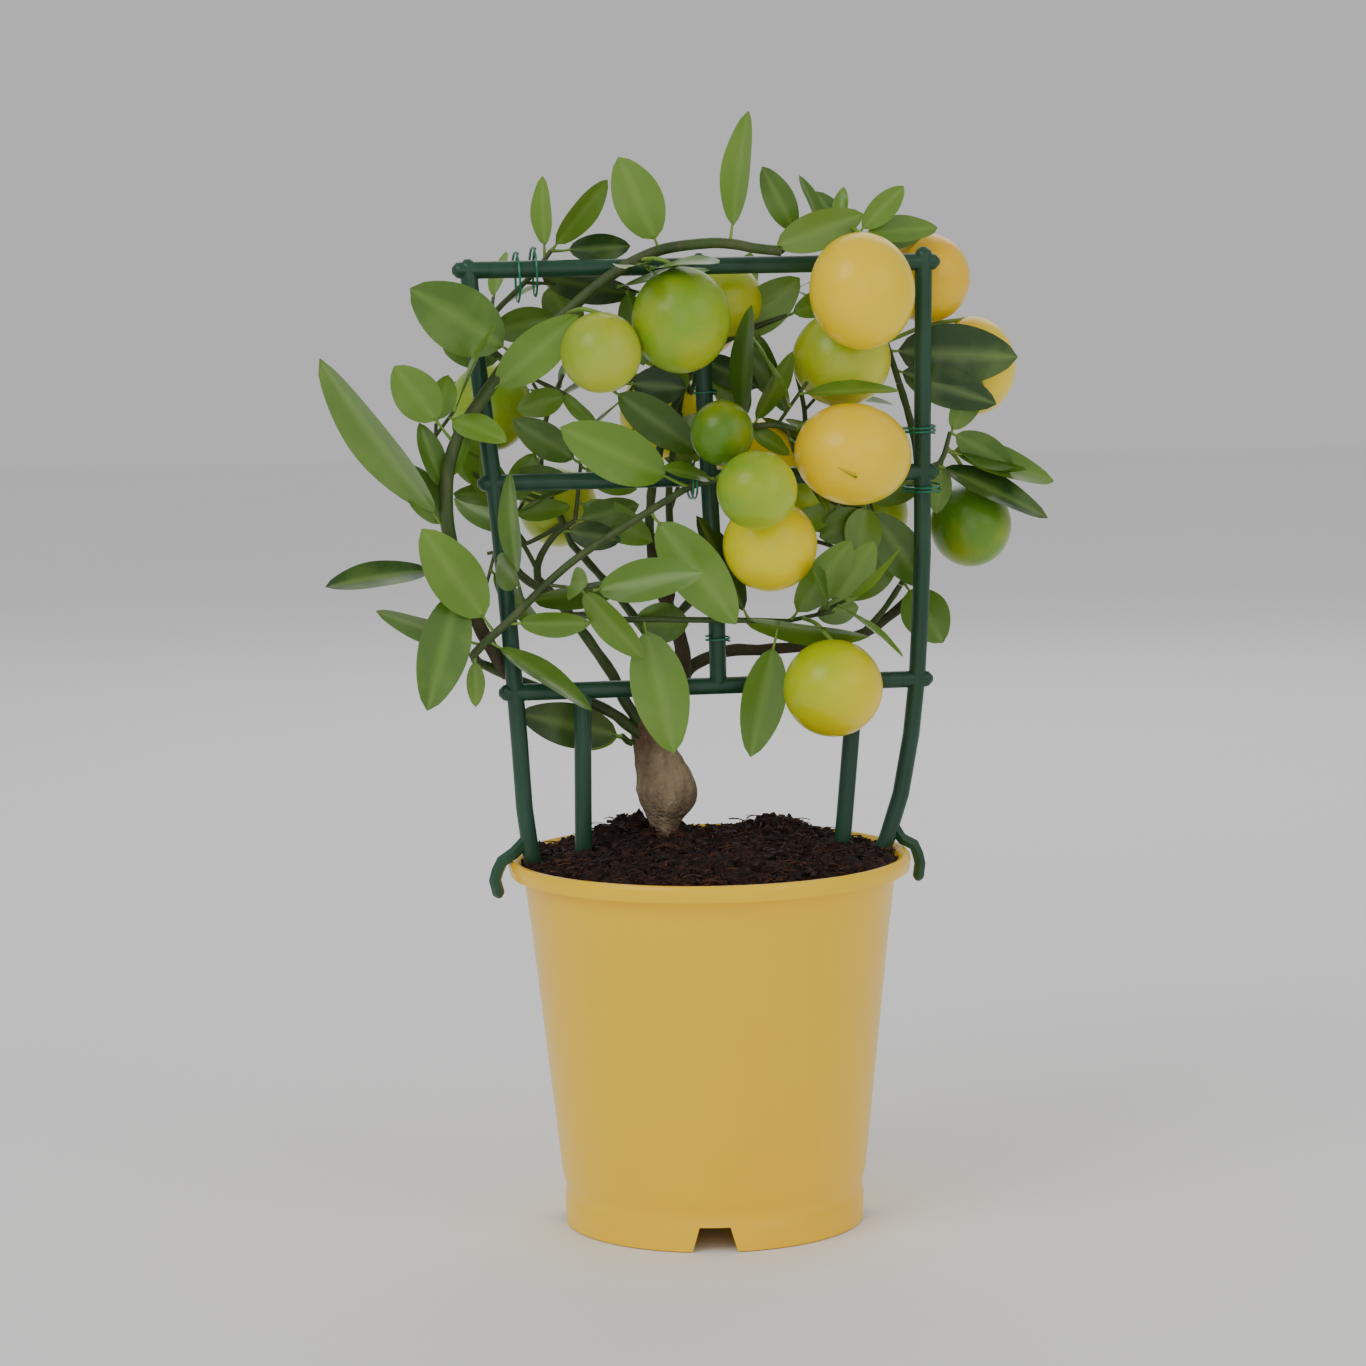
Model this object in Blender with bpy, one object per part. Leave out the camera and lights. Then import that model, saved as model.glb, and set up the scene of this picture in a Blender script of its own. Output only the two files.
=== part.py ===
"""Potted limequat tree, trained on a small ladder trellis in a yellow grower's pot.

The pot is 200 mm across its rim. Its axis is the Z axis and it stands on Z = 0.
The trellis stands across the pot, turned a little about that axis. Places on the
trellis and the plant are given in the trellis frame, in millimetres: U runs along
the bars from left to right, W from the front to the back, and Z upwards.
"""
import math
import random

import bmesh
import bpy
import numpy as np
from mathutils import Matrix, Vector
from mathutils.bvhtree import BVHTree

MM = 0.001
GAP = 0.3 * MM                       # clearance between neighbouring pieces

# Pot
RIM_RADIUS = 100.0 * MM
RIM_TOP = 183.5 * MM
LIP_HEIGHT = 8.0 * MM
BODY_TOP_RADIUS = 92.0 * MM
BODY_FOOT_RADIUS = 76.0 * MM
FOOT_RADIUS = 74.0 * MM
FOOT_HEIGHT = 13.0 * MM
WALL = 1.8 * MM
FLOOR_THICK = 2.2 * MM
NOTCH_COUNT = 4
NOTCH_TOP_WIDTH = 15.0 * MM
NOTCH_FOOT_WIDTH = 22.0 * MM
POT_SEGMENTS = 36

# Potting mix
SOIL_EDGE_TOP = 181.0 * MM
SOIL_MOUND = 9.0 * MM
SOIL_LUMPS = ((-38.0, 34.0, 11.0, 17.0), (38.0, 22.0, 9.0, 19.0))   # U, W, height, spread

# Trellis
TRELLIS_TURN = math.radians(9.0)
TUBE_RADIUS = 4.25 * MM
TUBE_SIDES = 8
KNOB_REACH = 4.3                     # millimetres, like the places below
KNOB_RADIUS = 4.1
HOOK_RADIUS = 3.2
BAR_HEIGHTS = {"top": 474.5, "middle": 370.8, "lower": 267.5}
BAR_ENDS = {"top": (-113.0, 111.0), "middle": (-103.7, 109.8), "lower": (-95.4, 106.2)}
LEFT_POST = ((-114.0, 476.0), (-109.5, 420.0), (-103.7, 371.0), (-99.7, 328.0),
             (-95.4, 268.0), (-93.6, 240.0), (-92.0, 210.0), (-89.2, 187.0), (-87.6, 180.0))
RIGHT_POST = ((111.5, 478.0), (110.6, 420.0), (109.8, 370.0), (109.6, 330.0),
              (106.2, 268.0), (103.0, 240.0), (97.4, 210.0), (90.6, 189.0), (87.0, 180.0))
LEFT_HOOK = ((-91.5, 194.0), (-97.6, 187.8), (-103.6, 183.8), (-107.3, 174.5), (-105.8, 168.5))
RIGHT_HOOK = ((93.5, 194.0), (97.8, 187.2), (103.8, 184.0), (106.8, 174.5), (106.0, 168.5))
MIDDLE_POST = ((-0.6, 474.5), (1.2, 404.0), (6.0, 290.0), (5.8, 267.5))
# Which pieces each one is cut clear of, where it meets them
TRELLIS_JOINTS = {"top_bar": ("left_post", "right_post"), "middle_bar": ("left_post", "right_post"),
                  "lower_bar": ("left_post", "right_post"),
                  "middle_post_upper": ("top_bar", "middle_bar"),
                  "middle_post_lower": ("middle_bar", "lower_bar"),
                  "left_leg": ("lower_bar",), "right_leg": ("lower_bar",)}
LEFT_LEG = ((-62.0, 267.0), (-63.2, 178.0))
RIGHT_LEG = ((75.0, 268.0), (72.4, 239.0), (68.0, 192.5), (66.5, 178.0))

# Trunk rings from the cut in the mix up to the fork: U, W, Z, radius
TRUNK = ((-18.5, 25.0, 186.6, 6.6), (-18.6, 25.0, 193.0, 6.8), (-18.6, 25.0, 199.0, 9.4),
         (-18.2, 25.0, 206.0, 13.8), (-17.8, 25.0, 213.0, 15.2), (-18.8, 25.0, 221.0, 13.4),
         (-21.8, 25.0, 231.0, 10.8), (-24.0, 24.5, 240.0, 10.4), (-25.4, 24.0, 248.0, 9.4),
         (-26.0, 24.0, 253.0, 6.0))

# Boughs: way from the foot to the tip, foot and tip radius
BOUGHS = {
    "left_bough": (((-27, 21, 243), (-37.7, 20, 258), (-43.5, 20, 271), (-53.8, 20, 287),
                    (-66, 20, 304), (-78.7, 20, 319.3)), 3.2, 2.3),
    "centre_stem": (((-22, 25, 245), (-12, 25, 258), (-8.5, 25, 268.4), (-8.3, 25, 284),
                     (-13.1, 25, 300), (-21.3, 25, 322.6), (-23.5, 25, 341.7)), 5.0, 2.4),
    "right_bough": (((-9, 26, 266), (-1.6, 30, 274.7), (15.3, 30, 281.2), (33, 30, 281.2),
                     (68, 30, 283.6), (86.5, 30, 288.6), (100, 30, 297.3), (110.4, 29, 306.6)),
                    3.2, 2.4),
    "low_left_bough": (((-29, 21, 240), (-46, 17, 254), (-63, 17, 262.5), (-82, 14, 267.5),
                        (-98, 11, 275), (-108, 8.5, 280), (-113.5, 2.5, 283), (-115.5, -4, 286)),
                       3.0, 2.3),
    "left_riser": (((-98, 11, 275), (-104.8, 4.5, 287), (-112, -5, 299.5), (-117.3, -10, 312.4)),
                   3.4, 3.4),
    "left_post_shoot": (((-70, 20, 309), (-76, 14.5, 314), (-88, 14, 322.5), (-98.5, 14, 340), (-103, 14.5, 370),
                         (-107, 14, 400), (-108.5, 13.5, 424)), 2.2, 1.8),
    "right_riser": (((110.4, 29, 306.6), (114, 26, 335), (112.5, 18, 362), (108, 12.5, 390),
                     (102, 16, 414)), 2.3, 1.8),
    "upper_stem": (((-23.5, 25, 341.7), (-21, 26, 370), (-12, 27, 400), (2, 26, 428)), 2.3, 1.9),
    "cross_shoot": (((-64, 19, 302.5), (-60, 8, 304), (-54, -3, 303.8), (-44, -8, 303)), 1.9, 1.6),
    "centre_branch": (((-16, 26.4, 386), (-6, 18, 390), (8, 6, 393), (16, -5, 395.3)), 2.1, 1.8),
    "right_spur": (((84, 29.6, 287.6), (94, 28, 298), (103.5, 26.3, 312)), 1.8, 1.5),
    "right_outer_branch": (((111.9, 17, 368), (116.5, 18.5, 371), (120.5, 20, 372.5)), 1.8, 1.5),
    "back_bough": (((-24, 28, 244), (-21, 42, 262), (-14, 55, 285), (-8, 62, 308)), 3.2, 2.4),
    "back_left_bough": (((-16, 52, 280), (-34, 60, 306), (-56, 62, 332)), 2.4, 1.9),
    "back_right_bough": (((-12, 57, 291), (12, 64, 312), (42, 66, 330)), 2.4, 1.9),
}
# Which limbs each bough is cut clear of where it grows, and which it follows on from
GROWS_FROM = {"left_bough": ("trunk",), "centre_stem": ("trunk",), "right_bough": ("centre_stem",),
              "low_left_bough": ("trunk", "left_bough"), "left_riser": ("low_left_bough",),
              "left_post_shoot": ("left_bough",), "cross_shoot": ("left_bough",),
              "centre_branch": ("upper_stem",), "right_spur": ("right_bough",),
              "right_outer_branch": ("right_riser",), "back_bough": ("trunk", "centre_stem"),
              "back_left_bough": ("back_bough",), "back_right_bough": ("back_bough",)}
FOLLOWS = {"right_riser": "right_bough", "upper_stem": "centre_stem"}

# Foliage. Each mass holds its shoots, the first being its stem:
#   way of the shoot, foot and tip radius, and its leaves.
# A leaf: place along the shoot (0 to 1), heading in the trellis plane (degrees, 0 to the
# right, 90 up), lean to the back (degrees), stalk, blade length and width that shows (mm).
# A fruit: centre, half width, half height, tilt (degrees), and shoot and place of its stalk.
# "space" is the box a mass keeps to, "twigs" how many the seeded rule adds.
MASSES = {
    "arch_left_foliage": {
        "from": "left_riser",
        "shoots": (
            (((-121, -11, 320), (-125, -12, 335), (-128, -13, 351), (-128, -14, 375),
              (-121.7, -14, 395), (-110.6, -14, 412), (-96.1, -14, 431.7)), 3.6, 3.2,
             ((0.28, 126, -8, 9, 95, 19), (0.42, 108, 4, 2, 33, 12), (0.46, 70, -6, 2, 28, 9),
              (0.62, 127, -8, 12, 34, 22), (0.82, 41, -14, 6, 53, 22), (0.16, -174, -10, 10, 52.5, 11),
              (0.10, -107, -12, 2, 60, 25), (0.27, 119, 14, 4, 34, 17))),
            (((-129, -10, 356), (-132, -4, 378), (-131.5, -1, 400)), 1.3, 0.9,
             ((1.0, 72, 22, 2, 24, 13),))),
        "fruits": (), "space": ((-192, -100), (-75, 12), (262, 470)), "twigs": 1, "seed": 11},
    "arch_top_foliage": {
        "from": "arch_left_foliage",
        "shoots": (
            (((-88.7, -14, 437.8), (-73.8, -14, 449), (-48.6, -14, 469.3), (-23.4, -14, 482.3),
              (6.6, -14, 485.7), (24.4, -14, 482.9), (37.7, -14, 481.2)), 3.1, 2.5,
             ((0.02, 147, -7, 3, 54, 32), (0.60, 114, -6, 3, 44, 24), (0.83, 82, -2, 6, 56, 11),
              (0.95, 19, -8, 3, 45, 19))),
            (((33, -11, 483), (50, -4, 488), (66, -1, 491), (80, 2, 489)), 1.6, 1.2,
             ((0.30, 118, -10, 3, 36, 15), (0.60, 112, 4, 2, 27, 7), (0.74, 77, 14, 2, 19, 7),
              (0.98, 43, 6, 2, 30, 13), (1.0, 3, 12, 3, 38, 13)))),
        "fruits": (((-54.3, -34, 434.6), 19.5, 19.5, 10, 0, 0.22),
                   ((-14.4, -29, 449.2), 23.9, 25.7, 4, 0, 0.52),
                   ((73.3, -36, 461.6), 25.6, 28.4, -6, 1, 0.78)),
        "space": ((-160, 120), (-80, 30), (405, 548)), "twigs": 2, "seed": 23},
    "diagonal_foliage": {
        "from": "low_left_bough",
        "shoots": (
            (((-113.5, -9.5, 291), (-109, -13.5, 296), (-99.3, -15, 304.4), (-69.8, -15, 331),
              (-31.9, -15, 354.8), (-7.5, -12.5, 367.8), (4, -15, 371)), 2.2, 1.7,
             ((0.07, 162, -18, 5, 53, 14), (0.03, -91, -5, 2, 22, 9), (0.13, 124, -14, 8, 56, 26),
              (0.18, -1, -12, 4, 35, 13), (0.10, -35, -10, 4, 55, 10), (0.28, 6, 14, 0, 54, 14),
              (0.76, -54, -8, 5, 63, 27), (0.91, 154, -12, 12, 60, 27), (1.0, 166, -22, 2, 31, 7))),),
        "fruits": (((17.3, -54, 367.9), 19.5, 19.0, 12, 0, 1.0),
                   ((29.2, -20, 338.3), 23.2, 22.8, 0, 0, 1.0)),
        "space": ((-170, 56), (-95, 3), (255, 405)), "twigs": 2, "seed": 31},
    "cross_foliage": {
        "from": "cross_shoot",
        "shoots": (
            (((-27, -9, 302.5), (-5, -9.5, 301.5), (15.6, -9.5, 300.7), (38.3, -9.5, 299.4)), 1.6, 1.4,
             ((0.14, -79, -8, 4, 62, 28), (0.70, -9, -9, 2, 63, 12), (0.96, -104, -7, 12, 55, 22),
              (0.78, 115, 3, 4, 62, 18), (0.05, -8, 18, 2, 30, 20))),
            (((36, -9, 299.8), (50, -6, 301), (64, -2, 303)), 1.2, 1.0,
             ((0.10, 53, -10, 4, 45, 19), (0.95, 57, 0, 2, 38, 17), (1.0, 64, 14, 2, 32, 15),
              (0.60, 6, 16, 0, 24, 13)))),
        "fruits": (((57.7, -31, 268.1), 24.4, 23.9, 0, 1, 0.35),),
        "space": ((-60, 110), (-80, 16), (230, 362)), "twigs": 1, "seed": 43},
    "centre_foliage": {
        "from": "centre_branch",
        "shoots": (
            (((24, -11, 396), (34, -13, 396.5), (44, -14, 394)), 1.8, 1.5,
             ((0.10, 86, -5, 2, 56, 8), (0.30, 62, -9, 2, 38, 12), (0.20, -34, 4, 0, 24, 9))),),
        "fruits": (((68.3, -34, 382.7), 28.6, 24.8, 8, 0, 1.0),
                   ((5.1, -27, 394.1), 15.4, 16.0, 0, 0, 0.12)),
        "space": ((-20, 105), (-100, 14), (352, 455)), "twigs": 2, "seed": 53},
    "middle_left_foliage": {
        "from": "left_bough",
        "shoots": (
            (((-81, 20, 326), (-79, 19.5, 333), (-72, 18.5, 343), (-62, 17, 350)), 2.1, 1.2,
             ((0.80, -12, -4, 2, 26, 14), (1.0, 12, 2, 2, 30, 14))),
            (((-80.5, 20, 329), (-86, 21, 336), (-92, 21, 346), (-94, 22, 358)), 1.3, 0.9,
             ((0.85, 8, 0, 2, 27, 10), (1.0, 62, 4, 2, 26, 15), (1.0, 118, 12, 2, 26, 12))),
            (((-66, 18, 349), (-60, 20, 362), (-58, 22, 378)), 1.2, 0.9,
             ((0.6, 168, 4, 2, 30, 14), (1.0, 146, 2, 3, 36, 17), (0.95, -24, 2, 2, 28, 15),
              (0.35, -30, 6, 2, 40, 18)))),
        "fruits": (), "space": ((-122, -16), (8, 47), (286, 402)), "twigs": 2, "seed": 61},
    "upper_left_foliage": {
        "from": "left_post_shoot",
        "shoots": (
            (((-106.5, 14, 440), (-100, 14.5, 453), (-88, 13, 465), (-79, 12, 474), (-72, 12, 483)),
             1.7, 1.2,
             ((0.93, 91, 0, 5, 34, 9), (1.0, 49, 4, 3, 41, 14), (1.0, 2, 10, 8, 32, 14),
              (0.80, -13, 8, 3, 50, 15), (0.28, 10, 12, 2, 34, 17))),
            (((-106, 15, 436), (-88, 19, 424), (-74, 20, 417), (-64, 19, 412)), 1.3, 0.9,
             ((1.0, -166, -6, 1, 25, 14), (0.9, -44, -4, 1, 24, 7), (0.6, 52, 8, 2, 34, 14),
              (0.3, 168, 10, 2, 28, 14)))),
        "fruits": (), "space": ((-140, -26), (7, 52), (404, 516)), "twigs": 2, "seed": 71},
    "upper_centre_foliage": {
        "from": "upper_stem",
        "shoots": (
            (((14, 24, 436), (32, 20, 444), (46, 18, 449)), 1.8, 1.2,
             ((0.35, 40, -8, 2, 44, 22), (0.12, -58, -16, 2, 34, 18), (0.45, -55, -6, 4, 34, 15),
              (0.65, -71, -4, 2, 42, 10), (1.0, 20, 0, 2, 34, 14))),
            (((2, 25, 431), (-14, 21, 428), (-28, 18, 421), (-42, 16, 414)), 1.4, 0.9,
             ((0.30, -95, -12, 0, 20, 16), (0.10, -27, -16, 2, 34, 14), (0.85, -6, -6, 2, 27, 19),
              (1.0, -37, -4, 2, 50, 20), (0.7, 164, 4, 2, 32, 14)))),
        "fruits": (((17.4, 26, 456.5), 17.6, 18.4, 0, 0, 0.4),),
        "space": ((-62, 62), (6, 54), (366, 484)), "twigs": 2, "seed": 83},
    "upper_right_foliage": {
        "from": "right_riser",
        "shoots": (
            (((99.5, 19, 424), (96, 22, 436), (90, 24, 452), (84, 22, 470), (81, 18, 482)), 1.7, 1.2,
             ((0.10, -20, -10, 2, 50, 20), (0.24, -4, -11, 3, 60, 30), (0.60, 50, -22, 2, 24, 8),
              (0.55, 10, -16, 2, 26, 9), (1.0, 12, 10, 3, 36, 13), (0.95, 122, 8, 2, 34, 14))),),
        "fruits": (((119.6, 31, 465.8), 21.8, 22.4, 0, 0, 0.8),
                   ((70.1, 2, 427.4), 24.4, 23.6, 6, 0, 0.55),
                   ((145.6, 43, 420.9), 21.6, 25.0, -4, 0, 0.30)),
        "space": ((50, 168), (-26, 68), (384, 512)), "twigs": 2, "seed": 97},
    "right_foliage": {
        "from": "right_outer_branch",
        "shoots": (
            (((125.5, 20.8, 377.5), (129, 22, 389)), 1.5, 1.1,
             ((0.05, -26, -5, 2, 59, 14), (0.30, -94, -12, 2, 26, 12), (0.55, -17, 12, 3, 59, 15),
              (0.50, -15, -2, 6, 36, 6), (1.0, -30, -4, 2, 34, 16), (0.9, 60, 16, 2, 30, 14))),),
        "fruits": (((142.3, 36, 340.8), 20.6, 21.2, 0, 0, 0.6),),
        "space": ((112, 190), (2, 66), (318, 404)), "twigs": 1, "seed": 101},
    "lower_right_foliage": {
        "from": "right_spur",
        "shoots": (
            (((105.5, 25, 322), (96, 20, 338), (84, 15, 354)), 1.5, 1.1,
             ((0.95, -55, -6, 2, 46, 22), (0.90, -156, -4, 2, 26, 18), (1.0, -100, -14, 0, 28, 19),
              (0.25, -158, 6, 2, 38, 20), (0.05, -60, 4, 4, 32, 24), (1.0, 80, 2, 2, 30, 14))),),
        "fruits": (((52.5, 26, 360.1), 12.2, 12.2, 0, 0, 1.0),),
        "space": ((38, 142), (6, 50), (276, 383)), "twigs": 2, "seed": 103},
    "low_foliage": {
        "from": "trunk",
        "shoots": (
            (((-37.2, 21, 238.5), (-40.5, 16, 242)), 1.8, 1.5,
             ((1.0, 165, -8, 1, 52, 22), (0.8, 175, 40, 2, 40, 18))),),
        "fruits": (), "space": ((-100, -36), (5, 60), (228, 268)), "twigs": 0, "seed": 107},
    "back_left_foliage": {
        "from": "back_left_bough",
        "shoots": (
            (((-62, 63, 345), (-72, 66, 368), (-70, 68, 395), (-60, 70, 420)), 1.8, 1.1, ()),
            (((-66, 64, 354), (-88, 62, 364), (-108, 58, 372)), 1.4, 0.9, ()),
            (((-60, 63, 340), (-80, 70, 335), (-100, 74, 330)), 1.4, 0.9, ())),
        "fruits": (((-62, 84, 352), 20.0, 20.5, 0, 0, 0.3), ((-96, 80, 404), 21.0, 22.5, 0, 0, 0.9)),
        "space": ((-132, -24), (50, 112), (282, 458)), "twigs": 7, "seed": 139},
    "back_right_foliage": {
        "from": "back_right_bough",
        "shoots": (
            (((52, 64, 348), (60, 62, 372), (62, 60, 398), (56, 58, 424)), 1.8, 1.1, ()),
            (((56, 63, 356), (78, 62, 362), (98, 60, 372)), 1.4, 0.9, ()),
            (((48, 66, 340), (68, 66, 332), (88, 66, 324)), 1.4, 0.9, ())),
        "fruits": (((40, 74, 372), 22.0, 22.5, 0, 0, 0.35), ((94, 62, 346), 21.0, 22.0, 0, 1, 0.7)),
        "space": ((18, 132), (50, 88), (276, 458)), "twigs": 7, "seed": 113},
    "back_centre_foliage": {
        "from": "back_bough",
        "shoots": (
            (((-7, 63, 330), (-8, 62, 360), (-4, 58, 395), (2, 54, 430), (6, 50, 462)), 2.2, 1.1, ()),
            (((-8, 62, 350), (-2, 74, 360), (2, 84, 366)), 1.4, 0.9, ()),
            (((-4, 58, 398), (6, 68, 412), (10, 76, 424)), 1.4, 0.9, ())),
        "fruits": (((-8, 80, 398), 22.0, 23.5, 0, 1, 0.9), ((12, 74, 446), 19.0, 19.5, 0, 2, 0.9)),
        "space": ((-24, 20), (40, 101), (300, 512)), "twigs": 6, "seed": 127},
}
LOW_STEM_START = (-34.7, 21.4, 237.5)
CROWN_MIDDLE = (0.0, 25.0, 370.0)
TWIG_LENGTHS = (12.0, 30.0)
LEAF_LENGTHS = (38.0, 54.0)
SHOW_STALK = 7.0                     # a shorter stalk is part of its blade
STALK_LAP = 3.0
LEAF_SINK = 0.5
PROBE_SWELL = 0.75                   # clearance kept between a leaf and other pieces
POST_ROOM = 1.3
LEAF_THICKNESS = 1.5                 # at the midrib
LEAF_FOLD = 0.10                     # rise of the blade's edges, as a share of its width
LEAF_FULLNESS = 0.40                 # width of a blade as a share of its length
LIMB_SIDES = 6
LIMB_STEP = 13.0
STEM_STEP = 12.0
TWIG_RADIUS = 1.0
STALK_RADIUS = 1.1
GOLDEN_ANGLE = math.radians(137.5)
# What is tried in turn for a leaf that would touch: more lean, side it rolls to, share of its size
LEAF_TRIALS = ((0, 1, 1.0), (0, -1, 1.0), (-8, 1, 1.0), (8, 1, 1.0), (-8, -1, 1.0), (8, -1, 1.0),
               (-16, 1, 1.0), (16, 1, 1.0), (-16, -1, 1.0), (16, -1, 1.0), (-24, 1, 1.0), (24, 1, 1.0),
               (0, 1, 0.85), (0, -1, 0.85), (-12, 1, 0.85), (12, 1, 0.85), (-32, 1, 0.9), (32, 1, 0.9))
TWIG_TRIALS = 40

# Open sky through the crown, seen from the front: U, Z, half width, half height
EYE = (-319.0, -2015.0, 511.0)
SKY = ((-85.7, 334.0, 11.0, 13.0), (-75.3, 362.8, 6.5, 4.0), (-54.0, 282.0, 17.0, 11.0),
       (-89.4, 397.4, 11.0, 7.5), (100.7, 425.4, 6.0, 13.0), (96.0, 302.0, 9.0, 24.0),
       (77.0, 280.0, 20.0, 7.0), (31.4, 311.3, 10.0, 6.0), (-62.0, 346.7, 10.0, 4.0),
       (-3.0, 290.5, 6.0, 7.0))
CROWN_OUTLINE = ((-128.0, 134.0), (270.0, 486.0), 40.0)    # U range, Z range, corner radius

# Wire ties: middle (U, W, Z), half sizes across, axis of the loop, turns
TIE_WIRE_RADIUS = 0.6
TIE_PITCH = 1.9
TIE_STEPS = 9
TIES = {
    "tie_top_left_inner": ((-89.5, 6.2, 470.6), (13.8, 12.2), "U", 1.2),
    "tie_top_left_outer": ((-81.0, 6.0, 473.0), (13.0, 12.0), "U", 1.2),
    "tie_right_upper": ((108.9, 6.2, 391.5), (8.7, 12.6), "Z", 2.2),
    "tie_right_lower": ((111.2, 8.8, 362.0), (9.0, 16.0), "Z", 2.2),
    "tie_diagonal": ((-7.0, -6.3, 369.3), (13.4, 8.2), "U", 2.2),
    "tie_middle_upper": ((1.1, 0.0, 413.0), (5.9, 5.9), "Z", 1.6),
    "tie_middle_lower": ((5.9, 0.0, 291.0), (5.9, 5.9), "Z", 1.6),
}

# Colours: base colour, roughness
COLOURS = {
    "pot_yellow": ((0.92, 0.58, 0.03), 0.35), "potting_mix": ((0.045, 0.02, 0.012), 0.95),
    "trellis_green": ((0.025, 0.085, 0.045), 0.4), "bark_beige": ((0.34, 0.25, 0.15), 0.9),
    "shoot_green": ((0.07, 0.12, 0.03), 0.5), "leaf_green": ((0.16, 0.33, 0.05), 0.45),
    "tie_green": ((0.01, 0.16, 0.08), 0.3),
}


def unit(vector):
    """The vector at length one."""
    return vector / np.linalg.norm(vector)


def to_world(points):
    """Points of the trellis frame, in millimetres, turned into metres about the pot's axis."""
    turn = Matrix.Rotation(TRELLIS_TURN, 3, "Z")
    return [turn @ Vector(point) * MM for point in points]


def material(name):
    """The Principled material of that name, made when it is first asked for."""
    found = bpy.data.materials.get(name)
    if found is None:
        colour, roughness = COLOURS[name]
        found = bpy.data.materials.new(name)
        found.use_nodes = True
        shader = found.node_tree.nodes["Principled BSDF"]
        shader.inputs["Base Color"].default_value = (*colour, 1.0)
        shader.inputs["Roughness"].default_value = roughness
        shader.inputs["Metallic"].default_value = 0.0
    return found


def make_object(name, points, faces, colour, smooth_angle=40.0):
    """One object from world points and faces, its normals turned outward."""
    mesh = bpy.data.meshes.new(name)
    mesh.from_pydata([tuple(point) for point in points], [], faces)
    shell = bmesh.new()
    shell.from_mesh(mesh)
    bmesh.ops.recalc_face_normals(shell, faces=shell.faces)
    shell.to_mesh(mesh)
    shell.free()
    mesh.shade_smooth()
    mesh.set_sharp_from_angle(angle=math.radians(smooth_angle))
    made = bpy.data.objects.new(name, mesh)
    bpy.context.scene.collection.objects.link(made)
    made.data.materials.append(material(colour))
    return made


def smooth_way(points, step):
    """Points every step or so along a smooth curve through the given points."""
    given = np.array(points, float)
    ends = np.vstack([2 * given[0] - given[1], given, 2 * given[-1] - given[-2]])
    found = []
    for i in range(len(given) - 1):
        a, b, c, d = ends[i:i + 4]
        count = max(1, round(np.linalg.norm(c - b) / step))
        for t in np.arange(count) / count:
            found.append(0.5 * (2 * b + (c - a) * t + (2 * a - 5 * b + 4 * c - d) * t ** 2
                                + (3 * b - a - 3 * c + d) * t ** 3))
    return np.array(found + [given[-1]])


def tangents_of(way):
    """Unit directions along a way."""
    steps = np.gradient(way, axis=0)
    return steps / np.linalg.norm(steps, axis=1)[:, None]


def loft(way, radii, sides):
    """A tube along the way, its section carried along without twist. Points and faces."""
    radii = np.broadcast_to(radii, len(way))
    tangents = tangents_of(way)
    across = unit(np.cross(tangents[0], (0.31, 0.82, 0.47)))
    angles = np.arange(sides) * 2 * math.pi / sides
    points = []
    for centre, tangent, radius in zip(way, tangents, radii):
        across = unit(across - tangent * np.dot(across, tangent))
        beside = np.cross(tangent, across)
        points += [centre + radius * (math.cos(a) * across + math.sin(a) * beside) for a in angles]
    faces = [tuple(range(sides))]
    for ring in range(len(way) - 1):
        low = ring * sides
        for k in range(sides):
            after = (k + 1) % sides
            faces.append((low + k, low + after, low + sides + after, low + sides + k))
    faces.append(tuple(range(len(points) - sides, len(points))))
    return points, faces


def capsule(way, radius, sides):
    """A tube with domed ends, for the moulded trellis. Points and faces."""
    first, last = unit(way[0] - way[1]), unit(way[-1] - way[-2])
    dome = ((0.92, 0.38), (0.38, 0.92))
    ends = [way[0] + first * radius * out for out, _ in dome]
    tips = [way[-1] + last * radius * out for out, _ in reversed(dome)]
    radii = [radius * share for _, share in dome] + [radius] * len(way)
    radii += [radius * share for _, share in reversed(dome)]
    return loft(np.array(ends + list(way) + tips), radii, sides)


def ellipsoid(centre, half_width, half_height, tilt, segments=10, rings=7):
    """A fruit: a slightly pointed ellipsoid, its axis tilted in the trellis plane."""
    points = []
    lean = Matrix.Rotation(math.radians(tilt), 3, "Y")
    for ring in range(1, rings):
        polar = math.pi * ring / rings
        for k in range(segments):
            turn = 2 * math.pi * k / segments
            place = Vector((half_width * math.sin(polar) * math.cos(turn),
                            half_width * math.sin(polar) * math.sin(turn),
                            half_height * math.cos(polar)))
            points.append(np.array(lean @ place) + centre)
    for pole in (1.0, -1.0):
        points.append(np.array(lean @ Vector((0, 0, pole * half_height))) + centre)
    top, foot = len(points) - 2, len(points) - 1
    last = (rings - 2) * segments
    faces = []
    for k in range(segments):
        after = (k + 1) % segments
        faces.append((top, k, after))
        faces.append((foot, last + after, last + k))
        for ring in range(rings - 2):
            low = ring * segments
            faces.append((low + k, low + segments + k, low + segments + after, low + after))
    return points, faces


def heading_vector(heading, lean):
    """The direction at that heading in the trellis plane and that lean to the back."""
    heading, lean = math.radians(heading), math.radians(lean)
    return np.array((math.cos(heading) * math.cos(lean), math.sin(lean),
                     math.sin(heading) * math.cos(lean)))


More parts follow.
